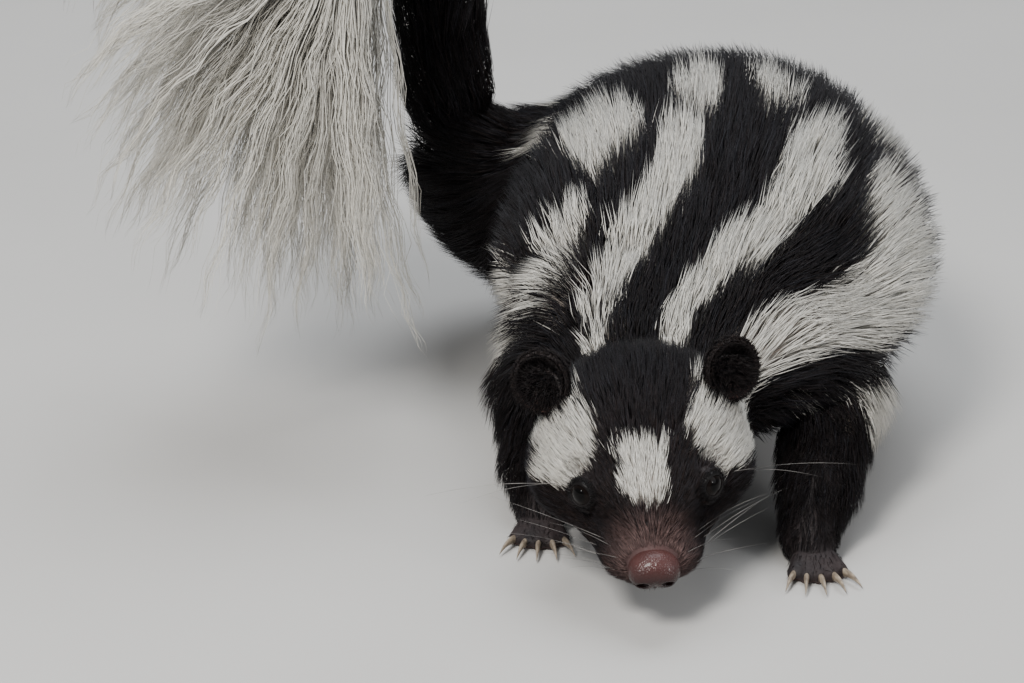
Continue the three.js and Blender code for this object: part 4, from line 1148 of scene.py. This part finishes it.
def lid_ring(side):
    """A closed ring round the opening of the eye, with its outline and the way the hair leaves it."""
    centre, across, upward, outward = eye_frame(side)
    sides = 72
    spin = np.arange(sides) * 2 * pi / sides
    points, ways = [], []
    for degrees, height in LID_PROFILE:
        angle = radians(degrees)
        # The upper lid is fuller and hangs a little lower; the front corner is drawn out
        fuller = 0.16 * share(np.sin(spin)) * (height > 0)
        corner = 1 + 0.07 * np.cos(spin * 2) - 0.05 * share(np.sin(spin))
        a = angle * corner
        round_way = across * np.cos(spin)[:, None] + upward * np.sin(spin)[:, None]
        way = outward * np.cos(a)[:, None] + round_way * np.sin(a)[:, None]
        points.append(centre + way * (EYE_RADIUS + height + fuller)[:, None])
        ways.append(round_way * np.cos(a)[:, None] - outward * np.sin(a)[:, None])
    k, j = np.meshgrid(np.arange(len(LID_PROFILE)), np.arange(sides), indexing="ij")
    k2, j2 = (k + 1) % len(LID_PROFILE), (j + 1) % sides
    quads = np.stack([k * sides + j, k2 * sides + j, k2 * sides + j2, k * sides + j2], -1).reshape(-1, 4)
    # The faces look outward, whichever side the ring is on
    points = np.concatenate(points)
    outer = points[quads].mean(1) - centre
    facing = (np.cross(points[quads[:, 2]] - points[quads[:, 0]], points[quads[:, 3]] - points[quads[:, 1]])
              * outer).sum(1)[norm(outer) > EYE_RADIUS + 0.1]
    if facing.mean() < 0:
        quads = quads[:, ::-1]
    return points, quads, np.concatenate(ways)


LID_RIM, LID_ROOT = 39.5, 92
lid_tufts = []
for name, side in SIDES.items():
    points, quads, ways = lid_ring(side)
    rim = np.repeat([1.0 if degrees < 40 else 0.0 for degrees, _ in LID_PROFILE], len(points) // len(LID_PROFILE))
    colour = np.array([0.0045, 0.0035, 0.0035]) + rim[:, None] * np.array([0.002, 0.001, 0.001])
    head_piece(f"lids_{name}", points, quads, colour, coat_finish, "black_fur")
    normals = normals_of(points, quads)
    tris = halved(quads)
    centre, _, _, outward = eye_frame(side)
    middles = points[tris].mean(1) - centre
    off_axis = np.degrees(np.arccos(np.clip(unit(middles) @ outward, -1, 1)))
    furred = (off_axis > LID_RIM) & (off_axis < LID_ROOT) & (norm(middles) > EYE_RADIUS)
    root, normal = sow(points, tris[furred], normals, lambda p: np.full(len(p), 14.0))
    way = ways[nearest_of(root, points)]
    way = tangent(way + np.array([0, 0.5, 0.0]) + rng.normal(0, 0.2, root.shape), normal)
    length = rng.uniform(0.9, 1.7, len(root))
    t = np.array([0.0, 0.5, 1.0])
    made = (root[:, None] + way[:, None] * (length[:, None] * t)[..., None]
            + normal[:, None] * (0.45 * t**0.8)[None, :, None])
    shade = np.array([0.0075, 0.006, 0.006]) * rng.uniform(0.6, 1.8, len(root))[:, None, None]
    world = out_of_head(made.reshape(-1, 3)).reshape(made.shape)
    patch = np.stack([0.35 + 0.02 * root[:, 0] / 15, 0.08 + 0.01 * root[:, 1] / 20], -1)
    widths = rng.uniform(0.12, 0.2, len(root))
    lid_tufts.append((world, widths, normal @ HEAD_TURN.T, np.repeat(shade, 3, axis=1), patch))
lid_tufts = [np.concatenate(parts) for parts in zip(*lid_tufts)]
split_pieces("lid_hair", lid_tufts, coat_finish, "black_fur")


def nose_field(q):
    m = q.copy()
    m[:, 0] = np.abs(m[:, 0])
    d = ellipsoid(m, (0, 2.5, 0.3), (5.3, 4.3, 3.9))
    d = smooth_min(d, ellipsoid(m, (2.5, 1.6, -0.3), (2.9, 3.3, 3.1)), 1.2)
    # Nostrils that open forward and curl out to the side, and the groove down the middle
    hole = smooth_min(taper(m, (2.1, -2.6, -0.5), (3.3, 0.4, -0.9), 1.0, 1.0),
                      taper(m, (2.6, -1.2, -0.8), (5.6, 0.4, -1.5), 0.75, 0.35), 0.5)
    d = smooth_max(d, -hole, 0.5)
    groove = taper(m, (0, -2.3, 0.6), (0, -0.6, -4.4), 0.32, 0.45)
    return smooth_max(d, -groove, 0.5)


nose_points, nose_quads = nets(nose_field, [np.arange(-6.3, 6.31, 0.3), np.arange(-2.8, 7.2, 0.3),
                                            np.arange(-4.6, 4.8, 0.3)])
# Inside the nostrils the colour is painted darker: painted shade in the holes.
nostril_painted_shade = share(1.2 - norm((np.abs(nose_points) * [1, 0, 0] + nose_points * [0, 1, 1] - [2.9, -0.6, -0.9])
                                / [1.6, 2.2, 1.3]))[:, None]
# The pad is painted lighter at its top and darker towards its front and underside: painted shade under the lit top.
lower = share((4.0 - 0.5 * nose_points[:, 1] - 0.86 * nose_points[:, 2]) / 4.5)[:, None]
nose_colour = np.array([0.075, 0.030, 0.028]) * (1 - lower) + np.array([0.014, 0.003, 0.003]) * lower
nose_colour = nose_colour * (1 - 0.9 * nostril_painted_shade)
head_piece("nose_pad", nose_points, nose_quads, nose_colour, nose_material(), "nose_skin", ("nose",))

EAR_AT = np.array([21, 43.5, 14.5])
EAR_FACING = np.array([0.42, -0.72, 0.5])


def ear_frame(side):
    opening = unit(EAR_FACING * [side, 1, 1])
    across = unit(np.cross(opening, [0, 0, 1.0]))
    return EAR_AT * [side, 1, 1], across, np.cross(across, opening), opening


def ear_field(q):
    """A cup that opens towards +Z of its own frame, with a rolled rim and two folds inside."""
    shell = np.abs(ellipsoid(q, (0, 0, 0), (6.1, 6.7, 3.3))) - 0.42
    cup = smooth_max(shell, q[:, 2] - 0.35 - 0.05 * q[:, 1], 0.9)
    fold = line_distance(q, np.array([[-4.0, -2.2, -1.4], [-2.4, 0.2, -2.2], [0.2, 1.5, -2.4], [3.0, 1.1, -2.1]]), 0.8)
    inner = line_distance(q, np.array([[-1.5, -4.1, -1.8], [0.4, -2.6, -2.4], [2.4, -2.0, -2.3]]), 0.75)
    return smooth_min(smooth_min(cup, fold, 1.0), inner, 1.0)


ear_points, ear_quads = nets(ear_field, [np.arange(-8, 8.1, 0.42), np.arange(-8.6, 8.7, 0.42),
                                         np.arange(-6.6, 1.9, 0.42)])
ear_normals = normals_of(ear_points, ear_quads)
ear_tris = halved(ear_quads)
ear_finish = ear_material()
ear_tufts = []
for name, side in SIDES.items():
    centre, across, upward, opening = ear_frame(side)
    basis = np.stack([across, upward, opening])
    local = centre + ear_points @ basis
    low_edge = share((-ear_points[:, 1] - 3.5) / 3)[:, None]
    colour = np.array([0.014, 0.010, 0.010]) * (1 - low_edge) + np.array([0.13, 0.06, 0.05]) * low_edge
    flip = np.linalg.det(basis) < 0
    quads = ear_quads[:, ::-1] if flip else ear_quads
    head_piece(f"pinna_{name}", local, quads, colour, ear_finish, "ear_skin", (f"ear_{name}",))
    root, normal = sow(ear_points, ear_tris, ear_normals, lambda p: np.full(len(p), 9.5))
    outer = (normal * unit(root)).sum(1) > 0
    rim = share((root[:, 2] + 1.2) / 1.4)
    way = tangent(np.stack([root[:, 0] * 0.12, root[:, 1] * 0.12 + 0.25, np.ones(len(root))], -1)
                  + rng.normal(0, 0.25, root.shape), normal)
    deep_in = share((-root[:, 2] - 0.2) / 2)
    length = np.where(outer, 1.7 - 0.5 * rim, 1.5 + 1.9 * deep_in) * rng.uniform(0.6, 1.15, len(root))
    t = np.array([0.0, 0.5, 1.0])
    lift = np.where(outer, 0.35, 0.45 + 0.3 * deep_in)
    made = (root[:, None] + way[:, None] * (length[:, None] * t)[..., None]
            + normal[:, None] * (length[:, None] * lift[:, None] * t**0.8)[..., None])
    tone = rng.uniform(0.6, 1.3, len(root))[:, None, None]
    brown = (rim * rng.uniform(0.0, 1.0, len(root)))[:, None, None]
    shade = (np.array([0.013, 0.0095, 0.0095]) * (1 - brown) + np.array([0.020, 0.013, 0.011]) * brown) * tone
    shade = np.repeat(shade, 3, axis=1)
    world = out_of_head(centre + made.reshape(-1, 3) @ basis).reshape(made.shape)
    face = (normal @ basis) @ HEAD_TURN.T
    patch = np.stack([0.25 + 0.5 * (side > 0) + 0.2 * root[:, 0] / 8, 0.5 + 0.4 * root[:, 1] / 9], -1)
    ear_tufts.append((world, rng.uniform(0.16, 0.26, len(root)), face, shade, patch))
ear_tufts = [np.concatenate(parts) for parts in zip(*ear_tufts)]
split_pieces("ear_hair", ear_tufts, coat_finish, "black_fur")


def swept(path, radii, sides, squash=1.0):
    """A closed tapered tube along a path, as vertices and triangles."""
    along = unit(np.gradient(path, axis=0))
    across = unit(np.cross(along, np.array([0, 0, 1.0]) + 1e-3))
    upward = np.cross(across, along)
    points = [path[0]]
    for centre, a, b, r in zip(path[:-1], across, upward, radii):
        for j in range(sides):
            spin = 2 * pi * j / sides
            points.append(centre + a * cos(spin) * r * squash + b * sin(spin) * r)
    points.append(path[-1])
    return np.array(points), closed_tube(len(path) - 1, sides)


def joined(parts):
    points, faces, base = [], [], 0
    for p, f in parts:
        points.append(p)
        faces.append(f + base)
        base += len(p)
    return np.concatenate(points), np.concatenate(faces)


claw_finish = horn_material()
for name in LEGS:
    at, spin = paw_frame(name)
    claws = []
    for i in range(TOE_COUNT):
        outward, _, tip = toe_line(i)
        length = CLAW_LENGTH[name]
        start = tip + outward * (TOE_RADIUS * 0.2)
        t = np.linspace(0, 1, 9)[:, None]
        arch = np.array([0, 0, 1.0]) * (0.75 * np.sin(t * pi * 0.9) - 1.15 * t**2)
        line = start + outward * (length + 1.2) * t * (1 - 0.06 * t) + arch
        line[:, 2] = np.maximum(line[:, 2], 0.35)
        radii = 1.05 * (1 - t[:, 0] ** 1.6) + 0.05
        points, faces = swept(line, radii, 10, 0.62)
        claws.append((points @ spin.T + at, faces))
    points, faces = joined(claws)
    points[:, 2] = np.maximum(points[:, 2], 0.1)
    finished(new_mesh(f"claws_{name}", points, faces), claw_finish)


def whisker(start, end, sag, radius):
    t = np.linspace(0, 1, 12)[:, None]
    line = start + (end - start) * t
    line = line + np.array([0, 0, 1.0]) * sag * np.sin(t * pi) - np.array([0, 0, 1.0]) * sag * 0.5 * t**2
    return swept(line, radius * (1 - 0.85 * t[:, 0]), 5)


hairs = []
for side in SIDES.values():
    for row in range(3):
        for column in range(3):
            root = np.array([[side * (6.0 + 1.1 * column), 6.5 + 2.3 * column, -1.2 - 1.4 * row]])
            root = onto_head_line(root, 0.0)[0]
            length = (13 + 5.5 * column) * rng.uniform(0.7, 1.15)
            way = unit(np.array([side * 1.0, 0.30 + 0.16 * column + rng.normal(0, 0.14),
                                 0.16 - 0.17 * row + rng.normal(0, 0.1)]))
            hairs.append(whisker(root, root + way * length, rng.uniform(0.4, 2.2), 0.055))
    for root, end in (((19.4, 23.4, 4.4), (48, 20, 8.5)), ((18.5, 26, 1.0), (40, 26, -3))):
        turned = np.array([side, 1, 1])
        hairs.append(whisker(np.array(root) * turned, np.array(end) * turned, 1.6, 0.07))
points, faces = joined(hairs)
whiskers = new_mesh("whiskers", out_of_head(points), faces)
m = Nodes("whisker_hair")
m.feed("Base Color", m.mix(m.ramp(m.noise(90.0), 0.35, 0.65), (0.02, 0.017, 0.016, 1.0), (0.34, 0.32, 0.30, 1.0)))
m.feed("Roughness", m.ramp(m.noise(400.0), 0.3, 0.7, 0.3, 0.45))
finished(whiskers, m.material)

# ---- Floor, lights and camera

floor = bpy.data.objects.new("floor", bpy.data.meshes.new("floor"))
floor.data.from_pydata([(-2.5, -2.5, 0), (2.5, -2.5, 0), (2.5, 2.5, 0), (-2.5, 2.5, 0)], [], [(0, 1, 2, 3)])
bpy.context.scene.collection.objects.link(floor)
m = Nodes("pale_floor")
m.feed("Base Color", m.mix(m.ramp(m.noise(6.0), 0.3, 0.7), (0.46, 0.45, 0.435, 1.0), (0.49, 0.48, 0.465, 1.0)))
m.feed("Roughness", 0.9)
floor.data.materials.append(m.material)


def area_light(name, at, target, size, power, colour=(1, 1, 1)):
    light = bpy.data.lights.new(name, "AREA")
    light.shape = "DISK"
    light.size = size
    light.energy = power
    light.color = colour
    lamp = bpy.data.objects.new(name, light)
    bpy.context.scene.collection.objects.link(lamp)
    lamp.location = at
    lamp.rotation_euler = (Vector(target) - Vector(at)).to_track_quat("-Z", "Y").to_euler()


middle = (0.02, 0.0, 0.05)
area_light("key", (-0.35, -0.75, 0.95), middle, 0.35, 17.0, (1.0, 0.98, 0.945))
area_light("fill", (0.9, -0.5, 0.6), middle, 0.8, 3.0, (0.95, 0.97, 1.0))
for name, across in (("glint_left", 0.78), ("glint_right", -0.72)):
    area_light(name, (across, -0.72, 0.42), middle, 0.11, 1.6)
area_light("sky", (0.1, 0.35, 1.2), middle, 0.9, 12.0, (0.92, 0.96, 1.0))
world = bpy.data.worlds.new("studio")
world.use_nodes = True
world.node_tree.nodes["Background"].inputs[0].default_value = (0.78, 0.80, 0.83, 1.0)
world.node_tree.nodes["Background"].inputs[1].default_value = 0.45
bpy.context.scene.world = world

# The camera looks 22 degrees down along +Y; the nose stands at this place of a 1024 x 683 picture
IMAGE_WIDTH, IMAGE_HEIGHT = 1024.0, 683.0
LENS_MM, SENSOR_MM = 100.0, 36.0
CAMERA_DROP = radians(22)
NOSE_PIXEL, NOSE_DISTANCE = (655.0, 578.0), 602.0
view_way = np.array([0, cos(CAMERA_DROP), -sin(CAMERA_DROP)])
view_up = np.array([0, sin(CAMERA_DROP), cos(CAMERA_DROP)])
focal = LENS_MM / SENSOR_MM * IMAGE_WIDTH
eye_point = (NOSE_AT - NOSE_DISTANCE * view_way
             - (NOSE_PIXEL[0] - IMAGE_WIDTH / 2) / focal * NOSE_DISTANCE * np.array([1.0, 0, 0])
             + (NOSE_PIXEL[1] - IMAGE_HEIGHT / 2) / focal * NOSE_DISTANCE * view_up)
camera = bpy.data.objects.new("camera", bpy.data.cameras.new("camera"))
bpy.context.scene.collection.objects.link(camera)
camera.data.lens, camera.data.sensor_width = LENS_MM, SENSOR_MM
camera.location = metres(eye_point)
camera.rotation_euler = (pi / 2 - CAMERA_DROP, 0, 0)
camera.data.clip_start, camera.data.clip_end = 0.01, 20
bpy.context.scene.camera = camera
